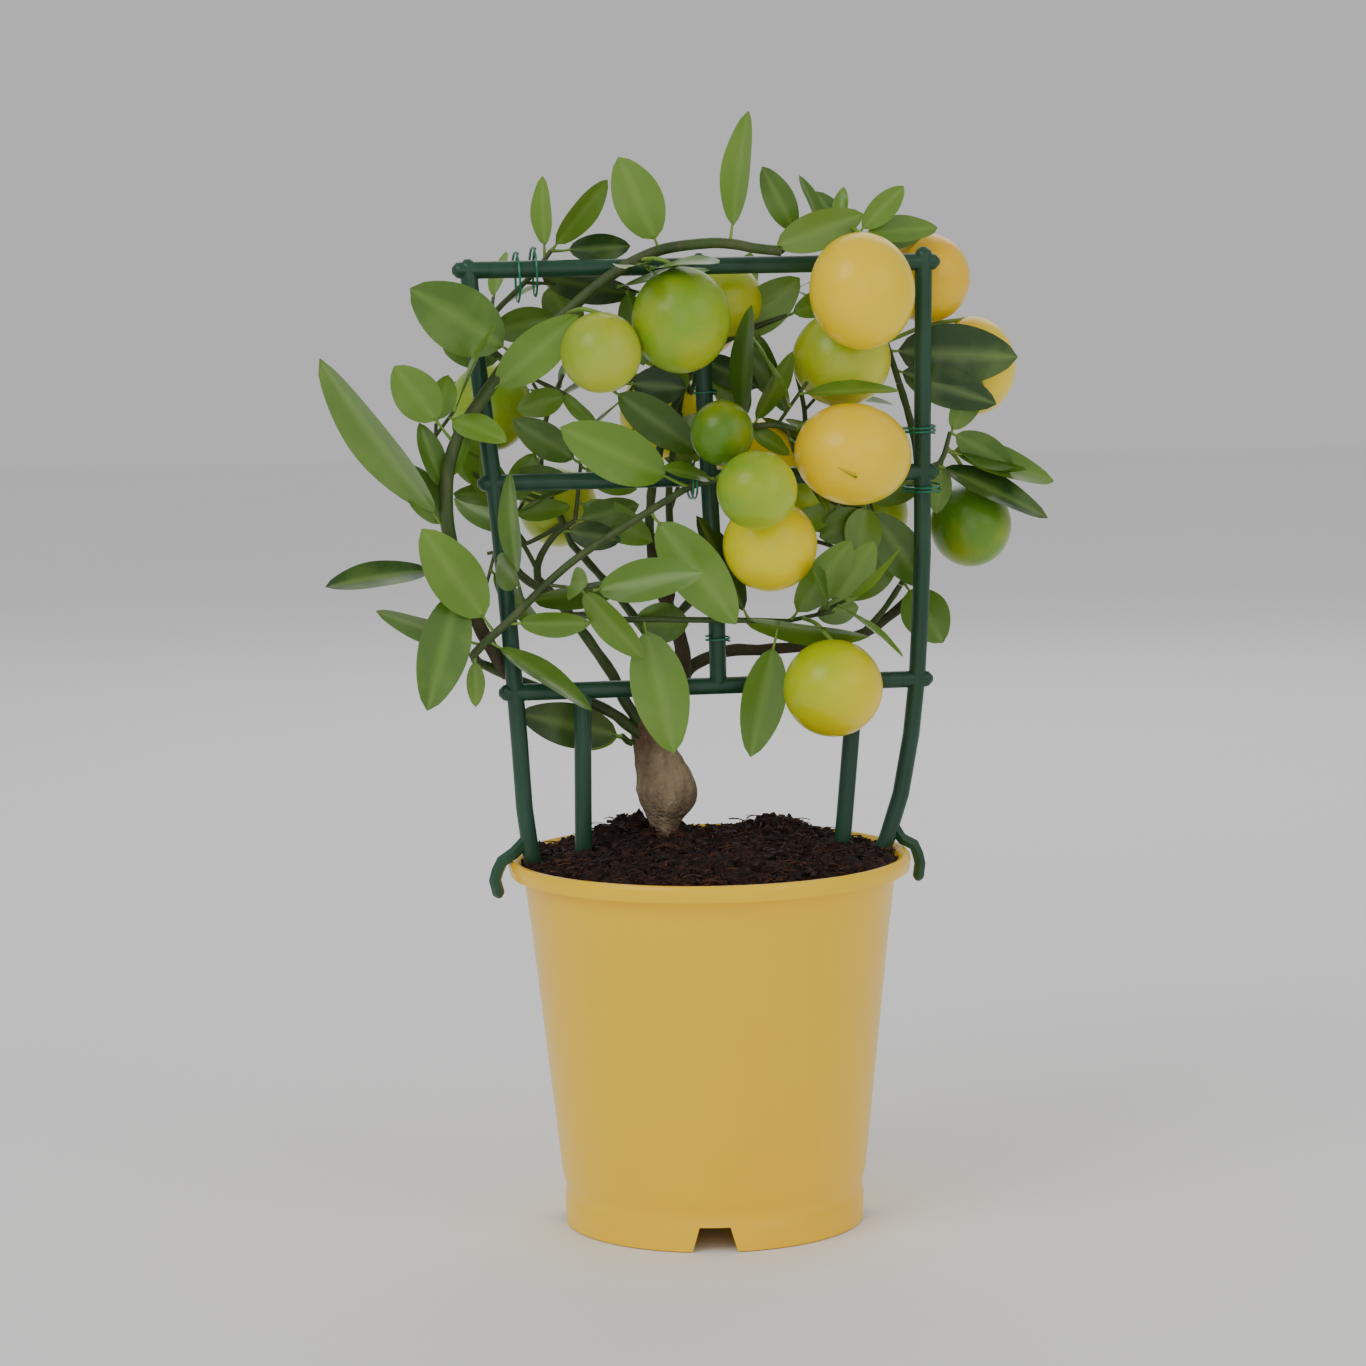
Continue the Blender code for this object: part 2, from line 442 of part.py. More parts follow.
def leaf(root, direction, facing, length, width, swell=0.0):
    """A blade of eight faces: root, tip, two edges raised a little, and the midrib's two sides."""
    facing = unit(facing - direction * np.dot(facing, direction))
    across = np.cross(direction, facing)
    middle = root + direction * length * 0.46
    half = width / 2 + swell
    thick = LEAF_THICKNESS / 2 + swell
    points = [root - direction * swell, root + direction * (length + swell),
              middle + across * half + facing * LEAF_FOLD * width,
              middle - across * half + facing * LEAF_FOLD * width,
              middle + facing * thick, middle - facing * thick]
    faces = [(0, 2, 4), (2, 1, 4), (1, 3, 4), (3, 0, 4), (2, 0, 5), (1, 2, 5), (3, 1, 5), (0, 3, 5)]
    return points, faces


class Filled:
    """The pieces placed so far, to keep new ones clear of them."""

    def __init__(self):
        self.trees = []
        self.names = []

    def add(self, points, faces, name=""):
        self.trees.append(BVHTree.FromPolygons([tuple(p) for p in points], faces))
        self.names.append(name)

    def who(self, points, faces):
        probe = BVHTree.FromPolygons([tuple(p) for p in points], faces)
        return sorted({n for n, tree in zip(self.names, self.trees) if tree.overlap(probe)})

    def touches(self, points, faces, own=None):
        probe = BVHTree.FromPolygons([tuple(p) for p in points], faces)
        return any(name != own and tree.overlap(probe) for name, tree in zip(self.names, self.trees))


def applied(made):
    """The object with its modifiers' result as its own mesh."""
    graph = bpy.context.evaluated_depsgraph_get()
    mesh = bpy.data.meshes.new_from_object(made.evaluated_get(graph))
    before = made.data
    made.modifiers.clear()
    made.data = mesh
    bpy.data.meshes.remove(before)
    mesh.name = made.name
    return made


def main_body(made):
    """Keeps the largest body: drops loose scraps, and the walls of any hollow sealed inside."""
    shell = bmesh.new()
    shell.from_mesh(made.data)
    bmesh.ops.triangulate(shell, faces=shell.faces)
    bodies, seen = [], set()
    for first in shell.faces:
        if first in seen:
            continue
        seen.add(first)
        body, front = [], [first]
        while front:
            face = front.pop()
            body.append(face)
            for edge in face.edges:
                for other in edge.link_faces:
                    if other not in seen:
                        seen.add(other)
                        front.append(other)
        bodies.append(body)
    volumes = [sum(face.verts[0].co.dot(face.verts[1].co.cross(face.verts[2].co)) for face in body)
               for body in bodies]
    largest = volumes.index(max(volumes))
    extra = [face for i, body in enumerate(bodies) if i != largest for face in body]
    bmesh.ops.delete(shell, geom=extra, context="FACES")
    shell.to_mesh(made.data)
    shell.free()
    return made


def fused(name, shapes, colour, solver="EXACT"):
    """One object joined from overlapping closed shapes, by one union on a collection."""
    made = make_object(name, to_world(shapes[0][0]), shapes[0][1], colour)
    if len(shapes) == 1:
        return made
    others = bpy.data.collections.new(name + " shapes")
    for k, (points, faces) in enumerate(shapes[1:]):
        other = make_object(f"{name} shape {k}", to_world(points), faces, colour)
        bpy.context.scene.collection.objects.unlink(other)
        others.objects.link(other)
    bpy.context.scene.collection.children.link(others)
    union = made.modifiers.new("Union", "BOOLEAN")
    union.operation = "UNION"
    union.operand_type = "COLLECTION"
    union.collection = others
    union.solver = solver
    applied(made)
    for other in list(others.objects):
        bpy.data.objects.remove(other)
    bpy.data.collections.remove(others)
    return main_body(made)


def cut(made, shapes):
    """Cuts each closed shape out of the object."""
    for points, faces in shapes:
        cutter = make_object("cutter", to_world(points), faces, "pot_yellow")
        away = made.modifiers.new("Cut", "BOOLEAN")
        away.operation = "DIFFERENCE"
        away.object = cutter
        applied(made)
        bpy.data.objects.remove(cutter)
    return main_body(made)


def body_radius(z):
    """Outer radius of the pot's tapering wall at that height."""
    share = (z - FOOT_HEIGHT * 2) / (RIM_TOP - LIP_HEIGHT - FOOT_HEIGHT * 2)
    return BODY_FOOT_RADIUS + (BODY_TOP_RADIUS - BODY_FOOT_RADIUS) * share


def inner_radius(z):
    """Inner radius of the pot: its wall, then the lip's inward flare."""
    flare = max(0.0, z - (RIM_TOP - LIP_HEIGHT)) * 0.75
    return body_radius(min(z, RIM_TOP - LIP_HEIGHT)) - WALL + flare


def make_pot():
    """Moulded pot: a turned wall with a rolled lip, and a foot ring with drain notches."""
    under_lip = RIM_TOP - LIP_HEIGHT
    floor_top = FOOT_HEIGHT + FLOOR_THICK
    line = RIM_TOP - 31 * MM
    profile = [(0.0, floor_top), (body_radius(floor_top) - 2.4 * WALL, floor_top),
               (inner_radius(2 * FOOT_HEIGHT), 2 * FOOT_HEIGHT), (inner_radius(under_lip), under_lip),
               (inner_radius(RIM_TOP - 1.6 * MM), RIM_TOP - 1.6 * MM), (RIM_RADIUS - 3.2 * MM, RIM_TOP),
               (RIM_RADIUS - 1.5 * MM, RIM_TOP), (RIM_RADIUS - 0.3 * MM, RIM_TOP - 1.4 * MM),
               (RIM_RADIUS, RIM_TOP - 3.4 * MM), (RIM_RADIUS - 1.0 * MM, under_lip), (BODY_TOP_RADIUS + 0.4 * MM, under_lip - 0.3 * MM),
               (body_radius(line) + 0.3 * MM, line), (body_radius(line - MM), line - MM),
               (BODY_FOOT_RADIUS + 0.1 * MM, 2 * FOOT_HEIGHT), (FOOT_RADIUS + 1.0 * MM, 1.65 * FOOT_HEIGHT),
               (FOOT_RADIUS + 0.2 * MM, 1.5 * FOOT_HEIGHT), (FOOT_RADIUS + 0.4 * MM, FOOT_HEIGHT),
               (FOOT_RADIUS + 0.9 * MM, FOOT_HEIGHT - 0.8 * MM), (FOOT_RADIUS + 0.9 * MM, 0.0),
               (FOOT_RADIUS - 1.4 * MM, 0.0), (FOOT_RADIUS - 1.8 * MM, FOOT_HEIGHT), (0.0, FOOT_HEIGHT)]
    mesh = bpy.data.meshes.new("pot")
    edges = [(i, i + 1) for i in range(len(profile) - 1)]
    mesh.from_pydata([(radius, 0.0, z) for radius, z in profile], edges, [])
    pot = bpy.data.objects.new("pot", mesh)
    bpy.context.scene.collection.objects.link(pot)
    turned = pot.modifiers.new("Turned", "SCREW")
    turned.steps = turned.render_steps = POT_SEGMENTS
    turned.use_merge_vertices = True
    turned.merge_threshold = 0.00005
    turned.use_smooth_shade = True
    for k in range(NOTCH_COUNT):
        cut_by = pot.modifiers.new(f"Notch {k}", "BOOLEAN")
        cut_by.operation = "DIFFERENCE"
        cut_by.object = make_notch(k)
    mesh.materials.append(material("pot_yellow"))


def make_notch(k):
    """The cutter of one drain notch, a wedge wider at the foot."""
    top, foot = NOTCH_TOP_WIDTH / 2, NOTCH_FOOT_WIDTH / 2
    near, far, low, high = FOOT_RADIUS - 12 * MM, FOOT_RADIUS + 12 * MM, -4 * MM, FOOT_HEIGHT - MM
    spread = foot + (foot - top) * 4 * MM / high
    points = [(near, -spread, low), (near, spread, low), (near, top, high), (near, -top, high),
              (far, -spread, low), (far, spread, low), (far, top, high), (far, -top, high)]
    faces = [(0, 1, 2, 3), (4, 7, 6, 5), (0, 4, 5, 1), (1, 5, 6, 2), (2, 6, 7, 3), (3, 7, 4, 0)]
    notch = make_object(f"notch_cutter_{k}", points, faces, "pot_yellow")
    notch.rotation_euler.z = 2 * math.pi * k / NOTCH_COUNT - math.pi / 2
    notch.hide_render = True
    notch.display_type = "WIRE"
    return notch


def soil_height(u, w):
    """Height of the mix, in millimetres: a low mound and the lumps that stand up from it."""
    edge = inner_radius(SOIL_EDGE_TOP) / MM
    height = SOIL_EDGE_TOP / MM + SOIL_MOUND / MM * (1 - (u * u + w * w) / edge ** 2)
    for lump_u, lump_w, rise, spread in SOIL_LUMPS:
        height += rise * math.exp(-((u - lump_u) ** 2 + (w - lump_w) ** 2) / spread ** 2)
    return height


def make_soil(cutters):
    """The mix: it fills the pot, a gap clear of the wall, and is mounded on top."""
    segments, rings = 24, 5
    floor = FOOT_HEIGHT + FLOOR_THICK + GAP
    sides = [(inner_radius(2 * FOOT_HEIGHT) - 2 * WALL - GAP, floor),
             (inner_radius(2 * FOOT_HEIGHT) - 2 * GAP, 2 * FOOT_HEIGHT),
             (inner_radius(RIM_TOP - LIP_HEIGHT) - 2 * GAP, RIM_TOP - LIP_HEIGHT),
             (inner_radius(SOIL_EDGE_TOP) - 2 * GAP, SOIL_EDGE_TOP)]
    points = [(0.0, 0.0, floor / MM)]
    turns = [(math.cos(2 * math.pi * k / segments), math.sin(2 * math.pi * k / segments))
             for k in range(segments)]
    for radius, z in sides:
        points += [(radius * c / MM, radius * s / MM, z / MM) for c, s in turns]
    edge = sides[-1][0] / MM
    for ring in range(rings - 1, 0, -1):
        radius = edge * ring / rings
        points += [(radius * c, radius * s, soil_height(radius * c, radius * s)) for c, s in turns]
    points.append((0.0, 0.0, soil_height(0.0, 0.0)))
    loops = len(sides) + rings - 1
    faces = []
    for k in range(segments):
        after = (k + 1) % segments
        faces.append((0, 1 + after, 1 + k))
        for loop in range(loops - 1):
            low = 1 + loop * segments
            faces.append((low + k, low + after, low + segments + after, low + segments + k))
        last = 1 + (loops - 1) * segments
        faces.append((last + k, last + after, len(points) - 1))
    soil = make_object("potting_mix", to_world(points), faces, "potting_mix")
    return cut(soil, cutters)


def in_plane(points):
    """Points of the trellis plane, given as U and Z."""
    return np.array([(u, 0.0, z) for u, z in points])


def tube(points, extra=0.0):
    """One trellis tube along points of the plane, swelled by extra for a cutter."""
    return capsule(smooth_way(in_plane(points), 28.0), TUBE_RADIUS / MM + extra, TUBE_SIDES)


def post_at(post, height):
    """The post's U at that height."""
    return float(np.interp(height, [z for _, z in reversed(post)], [u for u, _ in reversed(post)]))


def trellis_shapes(extra=0.0):
    """The closed shapes of each trellis piece, swelled by extra for cutters."""
    shapes = {}
    for side, name, post, hook in ((-1, "left_post", LEFT_POST, LEFT_HOOK),
                                   (1, "right_post", RIGHT_POST, RIGHT_HOOK)):
        shapes[name] = [tube(post, extra), capsule(smooth_way(in_plane(hook), 5.0), HOOK_RADIUS + extra, 6)]
        for height in BAR_HEIGHTS.values():
            u = post_at(post, height)
            knob = in_plane(((u, height), (u + side * KNOB_REACH, height)))
            shapes[name].append(capsule(knob, KNOB_RADIUS + extra, TUBE_SIDES))
    for level, (left, right) in BAR_ENDS.items():
        height = BAR_HEIGHTS[level]
        bar = in_plane(((left, height), (right, height)))
        shapes[level + "_bar"] = [capsule(bar, TUBE_RADIUS / MM + extra, TUBE_SIDES)]
    crest = in_plane((MIDDLE_POST[0], (MIDDLE_POST[0][0], MIDDLE_POST[0][1] + 3.0)))
    shapes["top_bar"].append(capsule(crest, KNOB_RADIUS - 0.5 + extra, TUBE_SIDES))
    for name, low, high in (("middle_post_upper", "middle", "top"), ("middle_post_lower", "lower", "middle")):
        span = np.linspace(BAR_HEIGHTS[low], BAR_HEIGHTS[high], 4)
        shapes[name] = [tube([(post_at(MIDDLE_POST, z), z) for z in span], extra)]
    shapes["left_leg"] = [tube(LEFT_LEG, extra)]
    shapes["right_leg"] = [tube(RIGHT_LEG, extra)]
    return shapes


def make_trellis():
    """Posts with hooks and knobs, bars between them, a middle post in two lengths, short legs."""
    plain, swelled = trellis_shapes(), trellis_shapes(GAP / MM)
    for name, shapes in plain.items():
        made = fused(name, shapes, "trellis_green")
        cut(made, [shape for other in TRELLIS_JOINTS.get(name, ()) for shape in swelled[other]])
    return [shape for shapes in plain.values() for shape in shapes]


def trunk_shape(extra=0.0):
    """The trunk's rings, lobed a little as it is gnarled; its foot is a flat cut."""
    sides = 12
    rings = smooth_way(TRUNK, 6.0)
    if extra:
        rings = np.vstack([rings[0] - (0, 0, extra, 0), rings])
    points, faces = loft(rings[:, :3], rings[:, 3] + extra, sides)
    shaped = []
    for i, point in enumerate(points):
        centre, turn = rings[i // sides, :3], 2 * math.pi * (i % sides) / sides
        lobe = 0.05 * math.sin(3 * turn + centre[2] / 9) + 0.03 * math.sin(5 * turn - centre[2] / 6)
        shaped.append(centre + (point - centre) * (1 + lobe))
    return shaped, faces


def following(way):
    """The first two points of what follows a limb: a gap past its tip, and on in line with it."""
    heading = tangents_of(way)[-1]
    return tuple(way[-1] + heading * GAP / MM), tuple(way[-1] + heading * (GAP / MM + 3.0))


def limb_way(name):
    """The smooth way of a bough; one that follows another starts in line with it."""
    points = BOUGHS[name][0]
    if name in FOLLOWS:
        points = following(limb_way(FOLLOWS[name])) + points[1:]
    return smooth_way(points, LIMB_STEP)


def limb_shape(name, extra=0.0):
    """A bough's tube, swelled by extra for a cutter."""
    if name == "trunk":
        return trunk_shape(extra)
    way = limb_way(name)
    _, foot, tip = BOUGHS[name]
    return loft(way, np.linspace(foot, tip, len(way)) + extra, LIMB_SIDES)


def stem_way(spec):
    """The smooth way of a mass's stem: it starts a gap past the limb or stem it follows."""
    source = spec["from"]
    if source == "trunk":
        start = (LOW_STEM_START,)
    elif source in MASSES:
        start = following(stem_way(MASSES[source]))
    else:
        start = following(limb_way(source))
    return smooth_way(start + spec["shoots"][0][0], STEM_STEP)


def shoot_ways(spec):
    """The ways of all the shoots: side shoots start on the stem's axis, where they are nearest."""
    stem = stem_way(spec)
    ways = [stem]
    for points, *_ in spec["shoots"][1:]:
        nearest = stem[np.argmin(np.linalg.norm(stem - points[0], axis=1))]
        ways.append(smooth_way((tuple(nearest),) + points[1:], STEM_STEP))
    return ways


def along(way, place):
    """The point and direction at that share of a way."""
    steps = np.linalg.norm(np.diff(way, axis=0), axis=1)
    reached = np.concatenate([[0.0], np.cumsum(steps)])
    target = place * reached[-1]
    point = np.array([np.interp(target, reached, way[:, k]) for k in range(3)])
    i = min(int(np.searchsorted(reached, target)), len(way) - 1)
    return point, tangents_of(way)[i]


def seen_from_front(point):
    """U and Z where the sight line to the point crosses the trellis plane."""
    eye = np.array(EYE)
    share = (0.0 - eye[1]) / (point[1] - eye[1])
    crossed = eye + share * (point - eye)
    return crossed[0], crossed[2]


def keeps_place(points, space):
    """Whether a rule-grown piece stays in its space and outline and leaves the sky gaps open."""
    for point in points:
        if any(not low <= value <= high for value, (low, high) in zip(point, space)):
            return False
        u, z = seen_from_front(point)
        if any(((u - a) / c) ** 2 + ((z - b) / d) ** 2 < 1 for a, b, c, d in SKY):
            return False
        (left, right), (low, high), corner = CROWN_OUTLINE
        beside = max(left + corner - u, u - right + corner, 0.0)
        above = max(low + corner - z, z - high + corner, 0.0)
        if math.hypot(beside, above) > corner:
            return False
    return True


def leaf_shapes(point, direction, facing, row, shoot_radius, swell=0.0):
    """A leaf's stalk, when it has one to show, and its blade, rooted on a shoot's axis."""
    stalk, length, width = row
    if stalk < SHOW_STALK:
        root = point - direction * LEAF_SINK
        return [leaf(root, direction, facing, length + stalk + shoot_radius, width, swell)]
    end = point + direction * (stalk + shoot_radius)
    stem = loft(np.array([point - direction * LEAF_SINK, end]), STALK_RADIUS + swell, 3)
    return [stem, leaf(end - direction * STALK_LAP, direction, facing, length + STALK_LAP, width, swell)]


def shown_facing(direction, shown, width, side):
    """Which way a blade faces for its width to show as given from the front."""
    front = np.array((0.0, -1.0, 0.0))
    front = unit(front - direction * np.dot(front, direction))
    roll = side * math.acos(min(1.0, shown / width))
    return front * math.cos(roll) + np.cross(direction, front) * math.sin(roll)


def rule_twig(rng, way, number):
    """A twig's root and tip by the seeded rule: round the shoot by the golden angle, out and up."""
    point, tangent = along(way, rng.uniform(0.25, 0.95))
    side = unit(np.cross(tangent, (0.31, 0.82, 0.47)))
    turn = number * GOLDEN_ANGLE
    radial = math.cos(turn) * side + math.sin(turn) * np.cross(tangent, side)
    direction = unit(0.45 * tangent + radial + np.array((0.0, 0.0, 0.25)))
    return point, point + direction * rng.uniform(*TWIG_LENGTHS)


def rule_leaves(rng, root, tip):
    """The leaves of a rule-grown twig: two on its sides and one on its tip."""
    direction = unit(tip - root)
    side = unit(np.cross(direction, (0.2, 0.3, 0.93)))
    found = []
    for k, place in enumerate((0.45, 0.75, 1.0)):
        turn = k * GOLDEN_ANGLE + rng.uniform(-0.4, 0.4)
        radial = math.cos(turn) * side + math.sin(turn) * np.cross(direction, side)
        spread = math.radians(55.0 if place < 1.0 else 15.0)
        heading = math.cos(spread) * direction + math.sin(spread) * radial
        point = root + (tip - root) * place
        facing = unit(unit(point - np.array(CROWN_MIDDLE)) + np.array((0.0, 0.0, 0.8)))
        found.append((point, heading, facing, rng.uniform(*LEAF_LENGTHS)))
    return found


def hangs(shapes, centre, half_width, half_height, tilt, way, place):
    """Adds a fruit and the stalk that it hangs by."""
    shapes.append(ellipsoid(np.array(centre), half_width, half_height, tilt))
    point, _ = along(way, place)
    top = np.array(centre) + np.array((0.0, 0.0, half_height * 0.86))
    shapes.append(loft(np.array([point, top]), STALK_RADIUS + 0.3, 3))


def framework(name, spec, filled):
    """A mass's shoots and its fruits."""
    ways = shoot_ways(spec)
    shapes = []
    for way, (_, foot, tip, _) in zip(ways, spec["shoots"]):
        shapes.append(loft(way, np.linspace(foot, tip, len(way)), 6 if foot > 1.9 else 3))
    for centre, half_width, half_height, tilt, shoot, place in spec["fruits"]:
        hangs(shapes, centre, half_width, half_height, tilt, ways[shoot], place)
    for shape in shapes:
        if filled.touches(*shape):
            print("TOUCH", name, "shoot or fruit", np.round(np.mean(shape[0], axis=0), 1), filled.who(*shape))
    for shape in shapes:
        filled.add(*shape, name)
    return shapes


def draw_leaves(name, spec, filled):
    """The leaves given one by one; each is rolled or leaned a little more where it would touch."""
    ways = shoot_ways(spec)
    shapes = []
    for way, (_, foot, tip, rows) in zip(ways, spec["shoots"]):
        for number, (place, heading, lean, stalk, length, shown) in enumerate(rows):
            point, _ = along(way, place)
            radius = foot + (tip - foot) * place
            width = max(shown, LEAF_FULLNESS * length)
            for more, side, share in LEAF_TRIALS:
                direction = heading_vector(heading, lean + more)
                facing = shown_facing(direction, shown, width, side if number % 2 else -side)
                row = (stalk, length * share, width * share)
                probes = leaf_shapes(point, direction, facing, row, radius, PROBE_SWELL)
                if not any(filled.touches(*probe, name) for probe in probes):
                    shapes += leaf_shapes(point, direction, facing, row, radius)
                    if (more, side, share) != LEAF_TRIALS[0]:
                        print("moved", name, number, heading, more, side, share)
                    break
            else:
                print("LOST", name, number, heading, [filled.who(*probe) for probe in probes])
    for shape in shapes:
        filled.add(*shape, name)
    return shapes


def grow_twigs(name, spec, filled):
    """The twigs and leaves that the seeded rule adds, where the mass's space has room."""
    ways = shoot_ways(spec)
    rng = random.Random(spec["seed"])
    shapes = []
    grown = 0
    for number in range(TWIG_TRIALS * spec["twigs"]):
        if grown == spec["twigs"]:
            break
        root, tip = rule_twig(rng, ways[number % len(ways)], number)
        twig = np.array([root, tip])
        probe = loft(twig, TWIG_RADIUS + PROBE_SWELL, 3)
        if not keeps_place([tip], spec["space"]) or filled.touches(*probe, name):
            continue
        kept = []
        for point, heading, facing, full in rule_leaves(rng, root, tip):
            for length in (full, 0.8 * full, 0.65 * full):
                given = (point, heading, facing, (1.0, length, LEAF_FULLNESS * length), TWIG_RADIUS)
                probe = leaf_shapes(*given, swell=PROBE_SWELL)[0]
                if keeps_place(probe[0], spec["space"]) and not filled.touches(*probe, name):
                    kept += leaf_shapes(*given)
                    break
        if len(kept) > 1:
            grown += 1
            shapes += [loft(twig, TWIG_RADIUS, 3)] + kept
    print("GROWN", name, grown, "twigs,", len(shapes), "shapes")
    for shape in shapes:
        filled.add(*shape, name)
    return shapes


def tie_shape(middle, halves, axis, turns):
    """A wire tie: a tube along an elliptical helix round the bar and what it holds."""
    angles = np.linspace(0.0, 2 * math.pi * turns, round(TIE_STEPS * turns) + 1)
    advance = TIE_PITCH * (angles / (2 * math.pi) - turns / 2)
    first, second = halves[0] * np.cos(angles), halves[1] * np.sin(angles)
    across = (advance, first, second) if axis == "U" else (first, second, advance)
    return loft(np.array(middle) + np.stack(across, axis=1), TIE_WIRE_RADIUS, 4)


for startup in list(bpy.data.objects):
    bpy.data.objects.remove(startup)

filled = Filled()
make_pot()
for shape in make_trellis():
    filled.add(*shape, "trellis")

trunk = trunk_shape()
make_object("trunk", to_world(trunk[0]), trunk[1], "bark_beige")
filled.add(*trunk, "trunk")
make_soil([tube(LEFT_POST, POST_ROOM), tube(RIGHT_POST, POST_ROOM), tube(LEFT_LEG, GAP / MM),
           tube(RIGHT_LEG, GAP / MM), trunk_shape(GAP / MM)])

for name in BOUGHS:
    shape = limb_shape(name)
    if filled.touches(*shape):
        print("TOUCH", name, filled.who(*shape))
    bough = make_object(name, to_world(shape[0]), shape[1], "shoot_green")
    cut(bough, [limb_shape(other, GAP / MM) for other in GROWS_FROM.get(name, ())])
    filled.add(*shape, name)

for name, (middle, halves, axis, turns) in TIES.items():
    shape = tie_shape(middle, halves, axis, turns)
    if filled.touches(*shape):
        print("TOUCH", name, filled.who(*shape))
    make_object(name, to_world(shape[0]), shape[1], "tie_green")
    filled.add(*shape, name)

masses = {name: framework(name, spec, filled) for name, spec in MASSES.items()}
for stage in (draw_leaves, grow_twigs):
    for name, spec in MASSES.items():
        masses[name] += stage(name, spec, filled)
for name, shapes in masses.items():
    fused(name, shapes, "leaf_green", "MANIFOLD")
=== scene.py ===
"""Looks of a potted limequat tree on its trellis: every piece is made finer over its CAD solid.

Unless a value says MM, places and sizes are in millimetres in the trellis frame: U to the right
along the trellis, W to the back and Z up from the ground, about the pot's axis.
"""
import math
import random

import bpy
import numpy as np
from mathutils import Matrix, Vector
from mathutils.bvhtree import BVHTree


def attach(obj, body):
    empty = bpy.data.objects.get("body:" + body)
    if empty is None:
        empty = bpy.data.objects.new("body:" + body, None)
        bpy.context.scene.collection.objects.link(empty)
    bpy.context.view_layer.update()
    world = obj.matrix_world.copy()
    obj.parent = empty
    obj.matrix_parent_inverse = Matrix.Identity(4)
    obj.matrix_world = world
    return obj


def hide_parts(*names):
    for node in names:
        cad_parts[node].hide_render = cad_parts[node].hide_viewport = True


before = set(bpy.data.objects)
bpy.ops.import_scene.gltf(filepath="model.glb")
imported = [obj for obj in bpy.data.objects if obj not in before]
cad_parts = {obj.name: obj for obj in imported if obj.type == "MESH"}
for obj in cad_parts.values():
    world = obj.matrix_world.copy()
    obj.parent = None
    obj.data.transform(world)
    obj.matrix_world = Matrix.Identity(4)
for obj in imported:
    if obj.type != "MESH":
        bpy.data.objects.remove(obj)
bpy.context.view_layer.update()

# The camera stands where the photograph was taken from, 2 m in front and a little above the
# middle of the crown. Its lens, height and tilt come from the rim, the foot and the trellis.
CAMERA_PLACE = (0.0, -2.04, 0.511)
CAMERA_LENS, CAMERA_SENSOR = 109.37, 36.0
CAMERA_DOWN, CAMERA_SIDE, CAMERA_ROLL = (math.radians(angle) for angle in (6.76, 0.33, -0.92))
camera_data = bpy.data.cameras.new("camera")
camera_data.lens = CAMERA_LENS
camera_data.sensor_width = CAMERA_SENSOR
camera = bpy.data.objects.new("camera", camera_data)
camera.matrix_world = (Matrix.Translation(CAMERA_PLACE) @ Matrix.Rotation(CAMERA_SIDE, 4, "Z")
                       @ Matrix.Rotation(math.radians(90.0) - CAMERA_DOWN, 4, "X")
                       @ Matrix.Rotation(CAMERA_ROLL, 4, "Z"))
bpy.context.scene.collection.objects.link(camera)
bpy.context.scene.camera = camera


# The pot is injection-moulded yellow plastic: a profile turned round the axis, with a tapering
# wall, a rolled lip, a faint line under the rim and a foot ring. Four drain notches are cut out
# of the foot ring, one of them in front.
MM = 0.001
RIM_RADIUS = 100.0 * MM
RIM_TOP = 183.5 * MM
LIP_HEIGHT = 8.0 * MM
LIP_FLARE = 0.75                     # how fast the bore widens inside the lip
LINE_DROP = 31.0 * MM                # from the rim down to the line
BODY_TOP_RADIUS = 92.0 * MM
BODY_FOOT_RADIUS = 76.0 * MM
FOOT_RADIUS = 74.0 * MM
FOOT_HEIGHT = 13.0 * MM
BODY_FOOT = 2 * FOOT_HEIGHT          # where the taper starts
WALL = 1.8 * MM
FLOOR_THICK = 2.2 * MM
NOTCH_COUNT = 4
NOTCH_TOP_WIDTH = 15.0 * MM
NOTCH_FOOT_WIDTH = 22.0 * MM
NOTCH_REACH = 12.0 * MM              # of the cutter, to both sides of the foot ring
NOTCH_BELOW = 4.0 * MM
POT_SEGMENTS = 180
EVEN = (1, 1, 1)                     # a pattern that isn't stretched
SPECULAR = 0.35
SHOWS_FROM, SHOWS_FULL = 0.45, 0.62  # noise at which a tone starts to show, and shows in full


def body_radius(z):
    """Outer radius of the wall at height z: it grows evenly from the foot ring to the lip."""
    share = (z - BODY_FOOT) / (RIM_TOP - LIP_HEIGHT - BODY_FOOT)
    return BODY_FOOT_RADIUS + (BODY_TOP_RADIUS - BODY_FOOT_RADIUS) * share


def inner_radius(z):
    """Inner radius of the pot at height z: its wall, then the lip's inward flare."""
    flare = max(0.0, z - (RIM_TOP - LIP_HEIGHT)) * LIP_FLARE
    return body_radius(min(z, RIM_TOP - LIP_HEIGHT)) - WALL + flare


